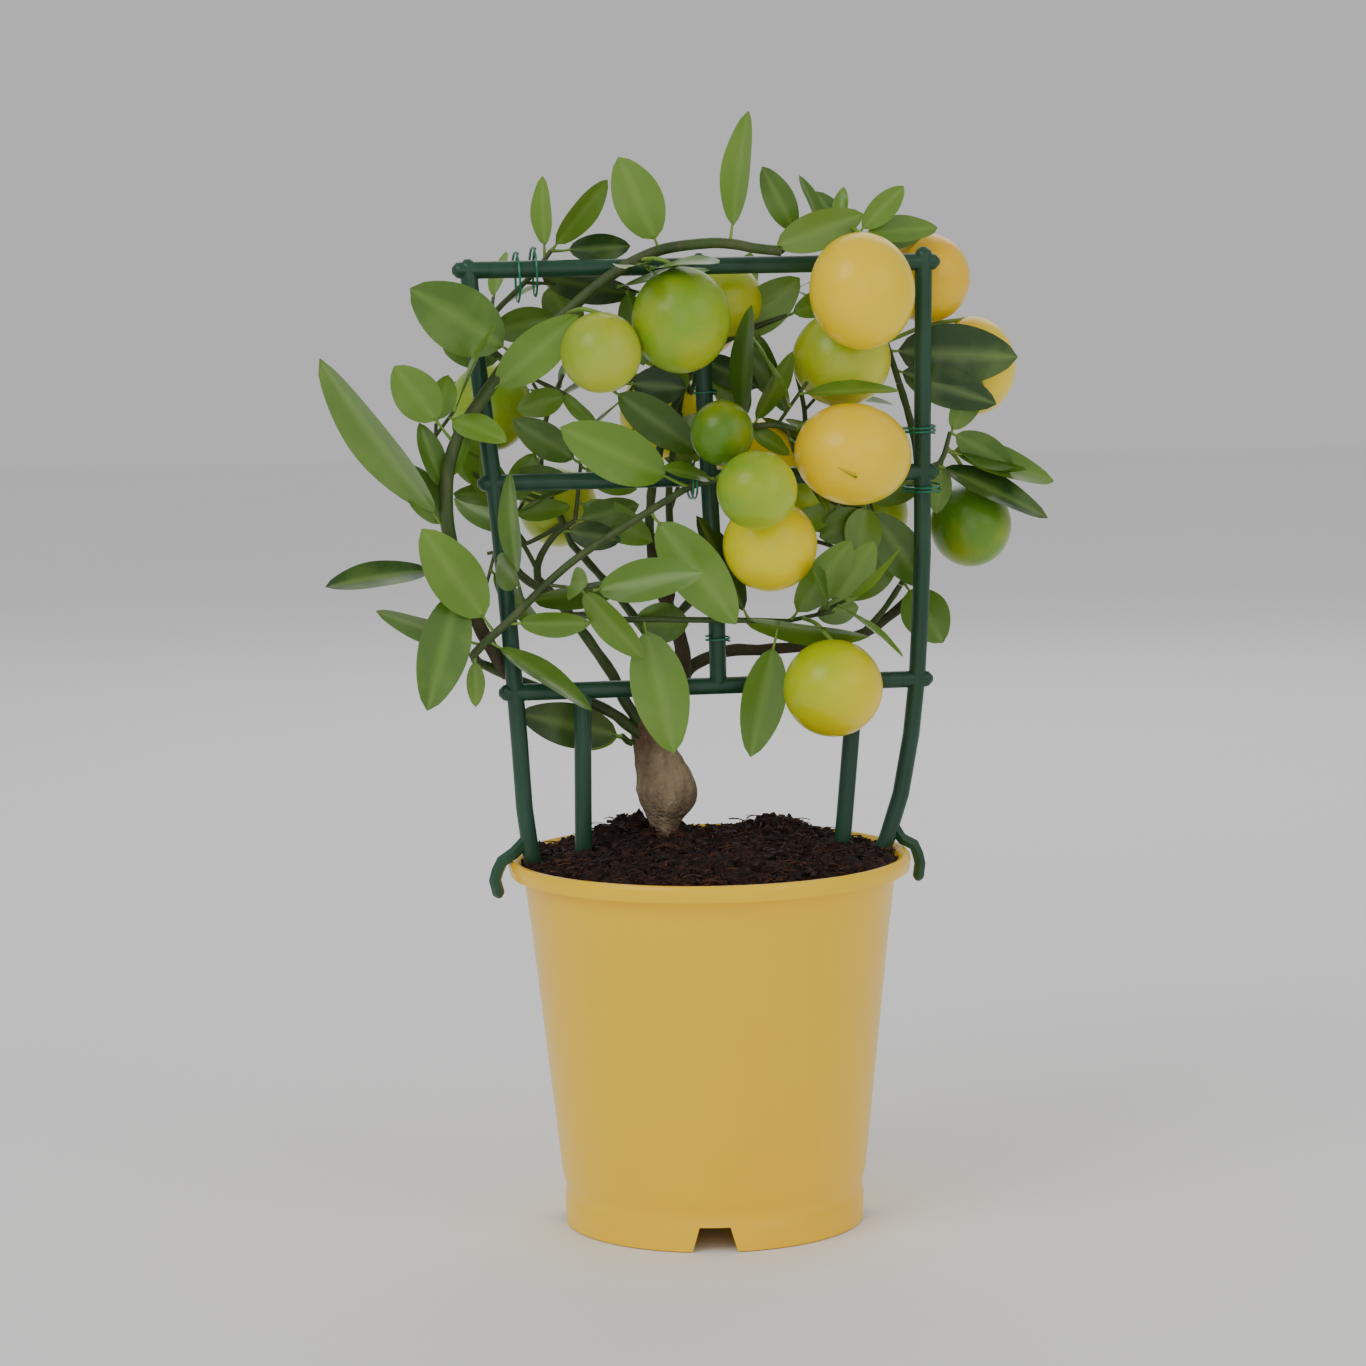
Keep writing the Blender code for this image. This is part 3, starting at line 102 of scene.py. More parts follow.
def pot_profile():
    """Radius and height round the pot's section, from its floor over the lip to its underside."""
    under_lip, floor_top, line = RIM_TOP - LIP_HEIGHT, FOOT_HEIGHT + FLOOR_THICK, RIM_TOP - LINE_DROP
    inside = [(0.0, floor_top), (body_radius(floor_top) - 2.4 * WALL, floor_top),
              (inner_radius(BODY_FOOT), BODY_FOOT), (inner_radius(under_lip), under_lip),
              (inner_radius(RIM_TOP - 1.6 * MM), RIM_TOP - 1.6 * MM)]
    lip = [(RIM_RADIUS - 3.2 * MM, RIM_TOP), (RIM_RADIUS - 1.5 * MM, RIM_TOP),
           (RIM_RADIUS - 0.3 * MM, RIM_TOP - 1.4 * MM), (RIM_RADIUS, RIM_TOP - 3.4 * MM),
           (RIM_RADIUS - 1.0 * MM, under_lip), (BODY_TOP_RADIUS + 0.4 * MM, under_lip - 0.3 * MM)]
    wall = [(body_radius(line) + 0.3 * MM, line), (body_radius(line - MM), line - MM),
            (BODY_FOOT_RADIUS + 0.1 * MM, BODY_FOOT), (FOOT_RADIUS + 1.0 * MM, 1.65 * FOOT_HEIGHT)]
    foot = [(FOOT_RADIUS + 0.2 * MM, 1.5 * FOOT_HEIGHT), (FOOT_RADIUS + 0.4 * MM, FOOT_HEIGHT),
            (FOOT_RADIUS + 0.9 * MM, FOOT_HEIGHT - 0.8 * MM), (FOOT_RADIUS + 0.9 * MM, 0.0),
            (FOOT_RADIUS - 1.4 * MM, 0.0), (FOOT_RADIUS - 1.8 * MM, FOOT_HEIGHT), (0.0, FOOT_HEIGHT)]
    return inside + lip + wall + foot


def notch_cutter(k):
    """The cutter of drain notch k, a wedge across the foot ring, wider at the foot."""
    top, foot, high = NOTCH_TOP_WIDTH / 2, NOTCH_FOOT_WIDTH / 2, FOOT_HEIGHT - MM
    spread = foot + (foot - top) * NOTCH_BELOW / high
    section = ((-spread, -NOTCH_BELOW), (spread, -NOTCH_BELOW), (top, high), (-top, high))
    points = [(FOOT_RADIUS + reach, y, z) for reach in (-NOTCH_REACH, NOTCH_REACH) for y, z in section]
    faces = [(3, 2, 1, 0), (5, 6, 7, 4), (1, 5, 4, 0), (2, 6, 5, 1), (3, 7, 6, 2), (0, 4, 7, 3)]
    mesh = bpy.data.meshes.new(f"notch_cutter_{k}")
    mesh.from_pydata(points, [], faces)
    notch = bpy.data.objects.new(mesh.name, mesh)
    notch.rotation_euler.z = 2 * math.pi * k / NOTCH_COUNT - math.pi / 2
    bpy.context.scene.collection.objects.link(notch)
    return notch


def finish(name, ground, tones, roughness, bump=(), coat=0.0):
    """A Principled finish. The ground is a colour, or the name of the mesh's colour attribute.
    Each tone (noise scale, colour, share, stretch) is mixed in where its noise is high, and the
    bump (scale, strength, distance) is noise too."""
    made = bpy.data.materials.new(name)
    made.use_nodes = True
    tree = made.node_tree
    shader = tree.nodes["Principled BSDF"]
    shader.inputs["Roughness"].default_value = roughness
    shader.inputs["Specular IOR Level"].default_value = SPECULAR
    shader.inputs["Coat Weight"].default_value = coat
    place = tree.nodes.new("ShaderNodeTexCoord").outputs["Object"]

    def noise_at(vector, scale, detail):
        noise = tree.nodes.new("ShaderNodeTexNoise")
        noise.inputs["Scale"].default_value = scale
        noise.inputs["Detail"].default_value = detail
        tree.links.new(vector, noise.inputs["Vector"])
        return noise.outputs["Fac"]

    colour = None
    if isinstance(ground, str):
        read = tree.nodes.new("ShaderNodeAttribute")
        read.attribute_name = ground
        colour = read.outputs["Color"]
    for scale, tint, share, stretch in tones:
        stretched = tree.nodes.new("ShaderNodeMapping")
        stretched.inputs["Scale"].default_value = stretch
        tree.links.new(place, stretched.inputs["Vector"])
        shown = tree.nodes.new("ShaderNodeMapRange")
        shown.inputs["From Min"].default_value = SHOWS_FROM
        shown.inputs["From Max"].default_value = SHOWS_FULL
        shown.inputs["To Max"].default_value = share
        tree.links.new(noise_at(stretched.outputs[0], scale, 6.0), shown.inputs["Value"])
        mix = tree.nodes.new("ShaderNodeMixRGB")
        tree.links.new(shown.outputs["Result"], mix.inputs["Fac"])
        mix.inputs["Color2"].default_value = (*tint, 1.0)
        if colour:
            tree.links.new(colour, mix.inputs["Color1"])
        else:
            mix.inputs["Color1"].default_value = (*ground, 1.0)
        colour = mix.outputs["Color"]
    tree.links.new(colour, shader.inputs["Base Color"])
    if bump:
        scale, strength, distance = bump
        raised = tree.nodes.new("ShaderNodeBump")
        raised.inputs["Strength"].default_value = strength
        raised.inputs["Distance"].default_value = distance
        tree.links.new(noise_at(place, scale, 4.0), raised.inputs["Height"])
        tree.links.new(raised.outputs["Normal"], shader.inputs["Normal"])
    return made


def dress(name, mesh, look, nodes, sharp=50.0):
    """The mesh as one piece: smooth but for edges over the sharp angle, riding on the root."""
    mesh.shade_smooth()
    mesh.set_sharp_from_angle(angle=math.radians(sharp))
    mesh.materials.clear()
    mesh.materials.append(look)
    made = bpy.data.objects.new(name, mesh)
    bpy.context.scene.collection.objects.link(made)
    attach(made, "root")
    if nodes:
        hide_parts(*nodes)


outline = pot_profile()
blank_mesh = bpy.data.meshes.new("pot_outline")
blank_mesh.from_pydata([(radius, 0.0, z) for radius, z in outline],
                       [(i, i + 1) for i in range(len(outline) - 1)], [])
blank = bpy.data.objects.new("pot_outline", blank_mesh)
bpy.context.scene.collection.objects.link(blank)
turned = blank.modifiers.new("Turned", "SCREW")
turned.steps = turned.render_steps = POT_SEGMENTS
turned.use_merge_vertices = True
turned.merge_threshold = 0.00005
turned.use_smooth_shade = True
cutters = [notch_cutter(k) for k in range(NOTCH_COUNT)]
for cutter in cutters:
    cut_by = blank.modifiers.new(cutter.name, "BOOLEAN")
    cut_by.operation = "DIFFERENCE"
    cut_by.object = cutter
graph = bpy.context.evaluated_depsgraph_get()
pot_mesh = bpy.data.meshes.new_from_object(blank.evaluated_get(graph))
for used in [blank] + cutters:
    bpy.data.objects.remove(used)
pot_yellow = finish("pot_yellow_look", (1.0, 0.62, 0.0), ((9.0, (1.0, 0.57, 0.0), 0.6, EVEN),),
                    0.33, (1400.0, 0.06, 0.0004), coat=0.15)
dress("pot_body", pot_mesh, pot_yellow, ["pot"], sharp=35.0)


# The potting mix is moist bark and coco fibre, filled in by hand, so it lies in a low mound with
# two lumps. Its crumbs are relief in the surface; loose fibres and chips of bark lie on it.
TRELLIS_TURN = math.radians(9.0)     # the trellis and its plant stand turned to the camera
SOIL_EDGE_TOP = 181.0 * MM
SOIL_MOUND = 9.0 * MM
SOIL_LUMPS = ((-38.0, 34.0, 11.0, 17.0), (38.0, 22.0, 9.0, 19.0))   # U, W, height, spread
SOIL_SEED = 5
SOIL_RINGS, SOIL_AROUND = 90, 220
SOIL_SIDE_GAP = 0.6                  # to the pot's wall
SOIL_SKIRT_FOOT = 170.0 * MM
SOIL_SETTLED = 0.6                   # how far the crumbs lie under the solid's top
CRUMB_WAVES = 60
CRUMB_RISE = 0.81                    # of the longest waves
CRUMB_SPREAD = 0.55                  # of each point's own height
FIBRE_COUNT, FIBRE_STEPS = 1500, 4
FIBRE_LENGTHS, FIBRE_RADII = (4, 16), (0.14, 0.42)
CHIP_HALF_SIZES = (0.8, 2.6)


def unit(vector):
    """The vector at length one."""
    return vector / np.linalg.norm(vector)


def tangents_of(way):
    """Unit directions along a way."""
    steps = np.gradient(way, axis=0)
    return steps / np.linalg.norm(steps, axis=1)[:, None]


OUTWARD, INWARD = (0, 1, 2, 3), (0, 3, 2, 1)    # corner orders of a face between two rings


def ring_faces(rings, sides, order=OUTWARD, first=0):
    """The four-sided faces between rings of points. They face outward where the rings are drawn
    anticlockwise about their way, and the inward order turns them where they are not."""
    k = np.arange(sides)
    low = first + np.arange(rings - 1)[:, None] * sides
    after = low + (k + 1) % sides
    corners = np.stack((low + k, after, after + sides, low + k + sides), axis=2)
    return corners.reshape(-1, 4)[:, order].tolist()


def loft(way, radii, sides):
    """A tube: way + radius * (cos a * across + sin a * beside), for angles a all round, where the
    across direction is carried along the way without twist. Points and faces, its ends closed."""
    radii = np.broadcast_to(radii, len(way))
    tangents = tangents_of(way)
    across = [unit(np.cross(tangents[0], (0.31, 0.82, 0.47)))]
    for tangent in tangents:
        across.append(unit(across[-1] - tangent * np.dot(across[-1], tangent)))
    across = np.array(across[1:])[:, None]
    beside = np.cross(tangents[:, None], across)
    angles = (np.arange(sides) * 2 * math.pi / sides)[:, None]
    rings = way[:, None] + radii[:, None, None] * (np.cos(angles) * across + np.sin(angles) * beside)
    last = (len(way) - 1) * sides
    faces = [list(range(sides))[::-1]] + ring_faces(len(way), sides) + [list(range(last, last + sides))]
    return rings.reshape(-1, 3), faces


def joined(shapes):
    """Several shapes as one array of points and one list of faces."""
    starts = np.cumsum([0] + [len(points) for points, _ in shapes]).tolist()
    faces = [[start + i for i in face] for start, (_, own) in zip(starts, shapes) for face in own]
    return np.vstack([points for points, _ in shapes]), faces


def piece(name, points, faces, look, slot, nodes=(), tints=None):
    """A piece from points of the trellis frame, turned about the pot's axis into metres."""
    cos, sin = math.cos(TRELLIS_TURN), math.sin(TRELLIS_TURN)
    u, w, z = np.array(points, float).T
    mesh = bpy.data.meshes.new(name)
    turned = np.stack((u * cos - w * sin, u * sin + w * cos, z), axis=1) * MM
    mesh.from_pydata(turned.tolist(), [], faces)
    mesh.validate()
    if tints is not None:
        tint = mesh.color_attributes.new("tint", "FLOAT_COLOR", "POINT")
        tint.data.foreach_set("color", np.column_stack((tints, np.ones(len(tints)))).ravel())
    dress(name, mesh, look, nodes)


def soil_height(u, w):
    """Height of the mix: edge + mound * (1 - r^2 / edge radius^2), and for each lump its height
    * exp(-distance^2 / spread^2)."""
    edge = inner_radius(SOIL_EDGE_TOP) / MM
    height = SOIL_EDGE_TOP / MM + SOIL_MOUND / MM * (1 - (u * u + w * w) / edge ** 2)
    for lump_u, lump_w, rise, spread in SOIL_LUMPS:
        height = height + rise * np.exp(-((u - lump_u) ** 2 + (w - lump_w) ** 2) / spread ** 2)
    return height


def soil_surface(rng, edge):
    """Rings of points round the axis at soil_height, plus crumbs: waves of sin(k . p + number),
    weaker as they get shorter, and a random height for each point. The skirt goes down the wall."""
    around = np.arange(SOIL_AROUND) * 2 * math.pi / SOIL_AROUND
    circle = np.stack((np.cos(around), np.sin(around)), axis=1)
    radii = edge * np.arange(1, SOIL_RINGS + 1) / SOIL_RINGS
    flat = np.vstack(((0.0, 0.0), (radii[:, None, None] * circle).reshape(-1, 2)))
    number = np.arange(CRUMB_WAVES)
    pace = 0.25 + 1.6 * number / CRUMB_WAVES
    waves = rng.uniform(-1, 1, (CRUMB_WAVES, 2)) * pace[:, None]
    relief = (np.sin(flat @ waves.T + number) * CRUMB_RISE / (1 + pace * 2.2)).sum(axis=1)
    height = soil_height(*flat.T) + relief + rng.normal(0, CRUMB_SPREAD, len(flat)) - SOIL_SETTLED
    low = inner_radius(SOIL_SKIRT_FOOT) / MM - SOIL_SIDE_GAP
    skirt = np.column_stack((low * circle, np.full(SOIL_AROUND, SOIL_SKIRT_FOOT / MM)))
    middle = [(0, 1 + k, 1 + (k + 1) % SOIL_AROUND) for k in range(SOIL_AROUND)]
    faces = middle + ring_faces(SOIL_RINGS + 1, SOIL_AROUND, INWARD, 1)
    return np.vstack((np.column_stack((flat, height)), skirt)), faces


def fibre(rng, u, w, edge):
    """A fibre of coco that lies on the mix in an arc and stays inside the pot."""
    heading, rise = rng.uniform(0, 2 * math.pi), rng.uniform(-0.25, 0.5)
    length = rng.uniform(*FIBRE_LENGTHS)
    bend = rng.uniform(-1.2, 1.2)
    way, here = [], np.array((u, w, soil_height(u, w) + 0.2))
    for step in range(FIBRE_STEPS + 1):
        way.append(here)
        angle = heading + bend * step / FIBRE_STEPS
        ahead = np.array((math.cos(angle), math.sin(angle), rise * (1 - step / 2)))
        here = here + length / FIBRE_STEPS * ahead
        if math.hypot(*here[:2]) > edge - 0.5:
            here[:2] *= (edge - 1.0) / math.hypot(*here[:2])
    return loft(np.array(way), rng.uniform(*FIBRE_RADII), 4)


def chip(rng, u, w):
    """A chip of bark: a box with its corners drawn in by chance, turned and tipped a little."""
    size = rng.uniform(*CHIP_HALF_SIZES, 3)
    signs = np.array([(a, b, c) for a in (-1, 1) for b in (-1, 1) for c in (-1, 1)])
    corners = rng.uniform(0.6, 1.0, (8, 3)) * size * signs
    spin = Matrix.Rotation(rng.uniform(0, 6), 3, "Z") @ Matrix.Rotation(rng.uniform(-0.7, 0.7), 3, "X")
    return (corners @ np.array(spin).T + (u, w, soil_height(u, w) + 0.4),
            [(0, 1, 3, 2), (4, 6, 7, 5), (0, 4, 5, 1), (2, 3, 7, 6), (0, 2, 6, 4), (1, 5, 7, 3)])


soil_rng = np.random.default_rng(SOIL_SEED)
soil_edge = inner_radius(SOIL_EDGE_TOP) / MM - SOIL_SIDE_GAP
mix_brown = finish("mix", (0.022, 0.009, 0.006),
                   ((220.0, (0.06, 0.022, 0.012), 0.9, EVEN), (600.0, (0.004, 0.002, 0.002), 0.8, EVEN)),
                   0.85, (900.0, 0.9, 0.0015))
fibre_tan = finish("fibre", (0.11, 0.04, 0.018), ((300.0, (0.03, 0.012, 0.008), 0.9, EVEN),), 0.8)
surface = soil_surface(soil_rng, soil_edge)
fibres, chips = [], []
for k in range(FIBRE_COUNT):
    radius, turn = soil_edge * 0.985 * math.sqrt(soil_rng.random()), soil_rng.uniform(0, 2 * math.pi)
    u, w = radius * math.cos(turn), radius * math.sin(turn)
    fibres.append(fibre(soil_rng, u, w, soil_edge))
    if k % 2:
        chips.append(chip(soil_rng, 0.95 * u, 0.95 * w))
piece("potting_mix_top", *surface, mix_brown, "potting_mix", ["potting_mix"])
piece("mix_fibres", *joined(fibres[::2]), fibre_tan, "potting_mix")
piece("mix_fibres_dark", *joined(fibres[1::2]), mix_brown, "potting_mix")
piece("mix_chips", *joined(chips), mix_brown, "potting_mix")


# The trellis is dark green moulded plastic: two bowed posts that hook over the rim, three bars,
# a middle post in two lengths and two legs behind. Tubes have domed ends, and knobs stand out
# where the bars meet the posts.
TUBE_RADIUS = 4.25
TUBE_SIDES = 24
TUBE_STEP, HOOK_STEP = 28.0, 5.0     # between the rings of a tube and of a hook
DOME = ((0.92, 0.38), (0.38, 0.92))  # rings of a tube's end: how far out, and share of its radius
KNOB_REACH = 4.3
KNOB_RADIUS = 4.1
CREST_RISE, CREST_RADIUS = 3.0, 3.6  # of the knob on top of the middle post
HOOK_RADIUS = 3.2
HOOK_SIDES = 6
BAR_HEIGHTS = {"top": 474.5, "middle": 370.8, "lower": 267.5}
BAR_ENDS = {"top": (-113.0, 111.0), "middle": (-103.7, 109.8), "lower": (-95.4, 106.2)}
LEFT_POST = ((-114.0, 476.0), (-109.5, 420.0), (-103.7, 371.0), (-99.7, 328.0),
             (-95.4, 268.0), (-93.6, 240.0), (-92.0, 210.0), (-89.2, 187.0), (-87.6, 180.0))
RIGHT_POST = ((111.5, 478.0), (110.6, 420.0), (109.8, 370.0), (109.6, 330.0),
              (106.2, 268.0), (103.0, 240.0), (97.4, 210.0), (90.6, 189.0), (87.0, 180.0))
LEFT_HOOK = ((-91.5, 194.0), (-97.6, 187.8), (-103.6, 183.8), (-107.3, 174.5), (-105.8, 168.5))
RIGHT_HOOK = ((93.5, 194.0), (97.8, 187.2), (103.8, 184.0), (106.8, 174.5), (106.0, 168.5))
MIDDLE_POST = ((-0.6, 474.5), (1.2, 404.0), (6.0, 290.0), (5.8, 267.5))
LEFT_LEG = ((-62.0, 267.0), (-63.2, 178.0))
RIGHT_LEG = ((75.0, 268.0), (72.4, 239.0), (68.0, 192.5), (66.5, 178.0))


def smooth_way(points, step):
    """Points every step or so along a smooth curve through the given points."""
    given = np.array(points, float)
    ends = np.vstack([2 * given[0] - given[1], given, 2 * given[-1] - given[-2]])
    found = []
    for i in range(len(given) - 1):
        a, b, c, d = ends[i:i + 4]
        count = max(1, round(np.linalg.norm(c - b) / step))
        for t in np.arange(count) / count:
            found.append(0.5 * (2 * b + (c - a) * t + (2 * a - 5 * b + 4 * c - d) * t ** 2
                                + (3 * b - a - 3 * c + d) * t ** 3))
    return np.array(found + [given[-1]])


def capsule(way, radius, sides):
    """A tube with domed ends. Points and faces."""
    first, last = unit(way[0] - way[1]), unit(way[-1] - way[-2])
    ends = [way[0] + first * radius * out for out, _ in DOME]
    tips = [way[-1] + last * radius * out for out, _ in reversed(DOME)]
    radii = [radius * share for _, share in DOME] + [radius] * len(way)
    radii += [radius * share for _, share in reversed(DOME)]
    return loft(np.array(ends + list(way) + tips), radii, sides)


def in_plane(points):
    """Points of the trellis plane, given as U and Z."""
    return np.array([(u, 0.0, z) for u, z in points])


def tube(points):
    """One tube of the trellis along points of its plane."""
    return capsule(smooth_way(in_plane(points), TUBE_STEP), TUBE_RADIUS, TUBE_SIDES)


def post_at(post, height):
    """The post's U at that height."""
    return float(np.interp(height, [z for _, z in reversed(post)], [u for u, _ in reversed(post)]))


def trellis_shapes():
    """The closed shapes of each piece of the trellis."""
    shapes = {}
    for side, name, post, hook in ((-1, "left_post", LEFT_POST, LEFT_HOOK),
                                   (1, "right_post", RIGHT_POST, RIGHT_HOOK)):
        hook = smooth_way(in_plane(hook), HOOK_STEP)
        shapes[name] = [tube(post), capsule(hook, HOOK_RADIUS, HOOK_SIDES)]
        for height in BAR_HEIGHTS.values():
            u = post_at(post, height)
            knob = in_plane(((u, height), (u + side * KNOB_REACH, height)))
            shapes[name].append(capsule(knob, KNOB_RADIUS, TUBE_SIDES))
    for level, ends in BAR_ENDS.items():
        bar = in_plane([(u, BAR_HEIGHTS[level]) for u in ends])
        shapes[level + "_bar"] = [capsule(bar, TUBE_RADIUS, TUBE_SIDES)]
    u, height = MIDDLE_POST[0]
    crest = in_plane(((u, height), (u, height + CREST_RISE)))
    shapes["top_bar"].append(capsule(crest, CREST_RADIUS, TUBE_SIDES))
    for name, low, high in (("middle_post_upper", "middle", "top"),
                            ("middle_post_lower", "lower", "middle")):
        span = np.linspace(BAR_HEIGHTS[low], BAR_HEIGHTS[high], 4)
        shapes[name] = [tube([(post_at(MIDDLE_POST, z), z) for z in span])]
    shapes["left_leg"] = [tube(LEFT_LEG)]
    shapes["right_leg"] = [tube(RIGHT_LEG)]
    return shapes


trellis_green = finish("trellis_look", (0.016, 0.062, 0.032),
                       ((60.0, (0.03, 0.10, 0.055), 0.5, (1, 1, 0.3)),), 0.32, (500.0, 0.15, 0.0005))
trellis = trellis_shapes()
for name, shapes in trellis.items():
    piece(name + "_tube", *joined(shapes), trellis_green, "trellis_plastic", [name])


# The ties are plastic-coated wire, wound by hand round a bar and the shoot that it holds.
# Each is given by its middle (U, W, Z), half sizes across, axis of the loop and turns.
TIE_WIRE_RADIUS = 0.6
TIE_WIRE_SIDES = 4
TIE_PITCH = 1.9
TIE_STEPS = 28
TIES = {
    "tie_top_left_inner": ((-89.5, 6.2, 470.6), (13.8, 12.2), "U", 1.2),
    "tie_top_left_outer": ((-81.0, 6.0, 473.0), (13.0, 12.0), "U", 1.2),
    "tie_right_upper": ((108.9, 6.2, 391.5), (8.7, 12.6), "Z", 2.2),
    "tie_right_lower": ((111.2, 8.8, 362.0), (9.0, 16.0), "Z", 2.2),
    "tie_diagonal": ((-7.0, -6.3, 369.3), (13.4, 8.2), "U", 2.2),
    "tie_middle_upper": ((1.1, 0.0, 413.0), (5.9, 5.9), "Z", 1.6),
    "tie_middle_lower": ((5.9, 0.0, 291.0), (5.9, 5.9), "Z", 1.6),
}


def tie_shape(middle, halves, axis, turns):
    """A tube along an elliptical helix: (first half size * cos a, second * sin a) across, and
    pitch * a / 2 pi along its axis, counted from its middle."""
    angles = np.linspace(0.0, 2 * math.pi * turns, round(TIE_STEPS * turns) + 1)
    advance = TIE_PITCH * (angles / (2 * math.pi) - turns / 2)
    first, second = halves[0] * np.cos(angles), halves[1] * np.sin(angles)
    across = (advance, first, second) if axis == "U" else (first, second, advance)
    return loft(np.array(middle) + np.stack(across, axis=1), TIE_WIRE_RADIUS, TIE_WIRE_SIDES)


tie_teal = finish("tie_look", (0.008, 0.16, 0.075), ((90.0, (0.01, 0.22, 0.12), 0.5, EVEN),), 0.25)
for name, given in TIES.items():
    piece(name + "_wire", *tie_shape(*given), tie_teal, "tie_plastic", [name])


# The trunk is short and gnarled, with beige bark that peels in brown patches. Its rings (U, W, Z
# and radius) go from the flat cut in the mix up to the fork.
TRUNK = ((-18.5, 25.0, 186.6, 6.6), (-18.6, 25.0, 193.0, 6.8), (-18.6, 25.0, 199.0, 9.4),
         (-18.2, 25.0, 206.0, 13.8), (-17.8, 25.0, 213.0, 15.2), (-18.8, 25.0, 221.0, 13.4),
         (-21.8, 25.0, 231.0, 10.8), (-24.0, 24.5, 240.0, 10.4), (-25.4, 24.0, 248.0, 9.4),
         (-26.0, 24.0, 253.0, 6.0))
TRUNK_STEP, TRUNK_SIDES = 1.2, 48
BARK_WAVES, TRUNK_SEED = 14, 3
TRUNK_RELIEF, BOUGH_RELIEF = 0.35, 0.12


def lobed(rings, sides, points):
    """The trunk's points, their distance from its axis times 1 + 0.05 sin(3 a + z / 9)
    + 0.03 sin(5 a - z / 6), for the angle a round the axis."""
    centres = np.repeat(rings[:, :3], sides, axis=0)
    turn = np.tile(np.arange(sides) * 2 * math.pi / sides, len(rings))
    lobe = 0.05 * np.sin(3 * turn + centres[:, 2] / 9) + 0.03 * np.sin(5 * turn - centres[:, 2] / 6)
    return centres + (points - centres) * (1 + lobe)[:, None]


def trunk_shape(step, sides):
    """The trunk: lofted through its rings and lobed. Points and faces."""
    rings = smooth_way(TRUNK, step)
    points, faces = loft(rings[:, :3], rings[:, 3], sides)
    return lobed(rings, sides, points), faces


def roughened(points, centres, amount, seed):
    """Bark relief: each point pushed out from its centre by amount / 5 times the sum of
    sin(k . p + number) over a few random waves k."""
    waves = np.random.default_rng(seed).uniform(-0.9, 0.9, (BARK_WAVES, 3))
    push = np.sin(points @ waves.T + np.arange(BARK_WAVES)).sum(axis=1) / 5.0
    out = points - centres
    length = np.maximum(np.linalg.norm(out, axis=1), 1e-6)
    return points + out * (push * amount / length)[:, None]


trunk_bark = finish("bark_look", (0.36, 0.27, 0.165),
                    ((55.0, (0.13, 0.075, 0.04), 0.9, (1, 1, 0.5)),
                     (260.0, (0.20, 0.145, 0.09), 0.7, (1, 1, 0.25))), 0.9, (420.0, 0.9, 0.0025))
points, faces = trunk_shape(TRUNK_STEP, TRUNK_SIDES)
centres = np.repeat(smooth_way(TRUNK, TRUNK_STEP)[:, :3], TRUNK_SIDES, axis=0)
points = roughened(points, centres, TRUNK_RELIEF, TRUNK_SEED)
piece("trunk_bark", points, faces, trunk_bark, "bark", ["trunk"])


# The boughs are tapering limbs, green while young and brown where they are older. Each is given
# by its way from the foot to the tip, and its radius at both. The right riser and the upper stem
# go on from the tip of another bough, a small gap past it.
GAP = 0.3
LIMB_STEP = 13.0
FINE_LIMB_STEP, FINE_LIMB_SIDES = 2.5, 16
OLD_BOUGHS = ("centre_stem", "right_bough", "left_riser", "back_bough")
BOUGHS = {
    "left_bough": (((-27, 21, 243), (-37.7, 20, 258), (-43.5, 20, 271), (-53.8, 20, 287),
                    (-66, 20, 304), (-78.7, 20, 319.3)), 3.2, 2.3),
    "centre_stem": (((-22, 25, 245), (-12, 25, 258), (-8.5, 25, 268.4), (-8.3, 25, 284),
                     (-13.1, 25, 300), (-21.3, 25, 322.6), (-23.5, 25, 341.7)), 5.0, 2.4),
    "right_bough": (((-9, 26, 266), (-1.6, 30, 274.7), (15.3, 30, 281.2), (33, 30, 281.2),
                     (68, 30, 283.6), (86.5, 30, 288.6), (100, 30, 297.3), (110.4, 29, 306.6)),
                    3.2, 2.4),
    "low_left_bough": (((-29, 21, 240), (-46, 17, 254), (-63, 17, 262.5), (-82, 14, 267.5),
                        (-98, 11, 275), (-108, 8.5, 280), (-113.5, 2.5, 283), (-115.5, -4, 286)),
                       3.0, 2.3),
    "left_riser": (((-98, 11, 275), (-104.8, 4.5, 287), (-112, -5, 299.5), (-117.3, -10, 312.4)),
                   3.4, 3.4),
    "left_post_shoot": (((-70, 20, 309), (-76, 14.5, 314), (-88, 14, 322.5), (-98.5, 14, 340),
                         (-103, 14.5, 370), (-107, 14, 400), (-108.5, 13.5, 424)), 2.2, 1.8),
    "right_riser": (((110.4, 29, 306.6), (114, 26, 335), (112.5, 18, 362), (108, 12.5, 390),
                     (102, 16, 414)), 2.3, 1.8),
    "upper_stem": (((-23.5, 25, 341.7), (-21, 26, 370), (-12, 27, 400), (2, 26, 428)), 2.3, 1.9),
    "cross_shoot": (((-64, 19, 302.5), (-60, 8, 304), (-54, -3, 303.8), (-44, -8, 303)), 1.9, 1.6),
    "centre_branch": (((-16, 26.4, 386), (-6, 18, 390), (8, 6, 393), (16, -5, 395.3)), 2.1, 1.8),
    "right_spur": (((84, 29.6, 287.6), (94, 28, 298), (103.5, 26.3, 312)), 1.8, 1.5),
    "right_outer_branch": (((111.9, 17, 368), (116.5, 18.5, 371), (120.5, 20, 372.5)), 1.8, 1.5),
    "back_bough": (((-24, 28, 244), (-21, 42, 262), (-14, 55, 285), (-8, 62, 308)), 3.2, 2.4),
    "back_left_bough": (((-16, 52, 280), (-34, 60, 306), (-56, 62, 332)), 2.4, 1.9),
    "back_right_bough": (((-12, 57, 291), (12, 64, 312), (42, 66, 330)), 2.4, 1.9),
}
FOLLOWS = {"right_riser": "right_bough", "upper_stem": "centre_stem"}


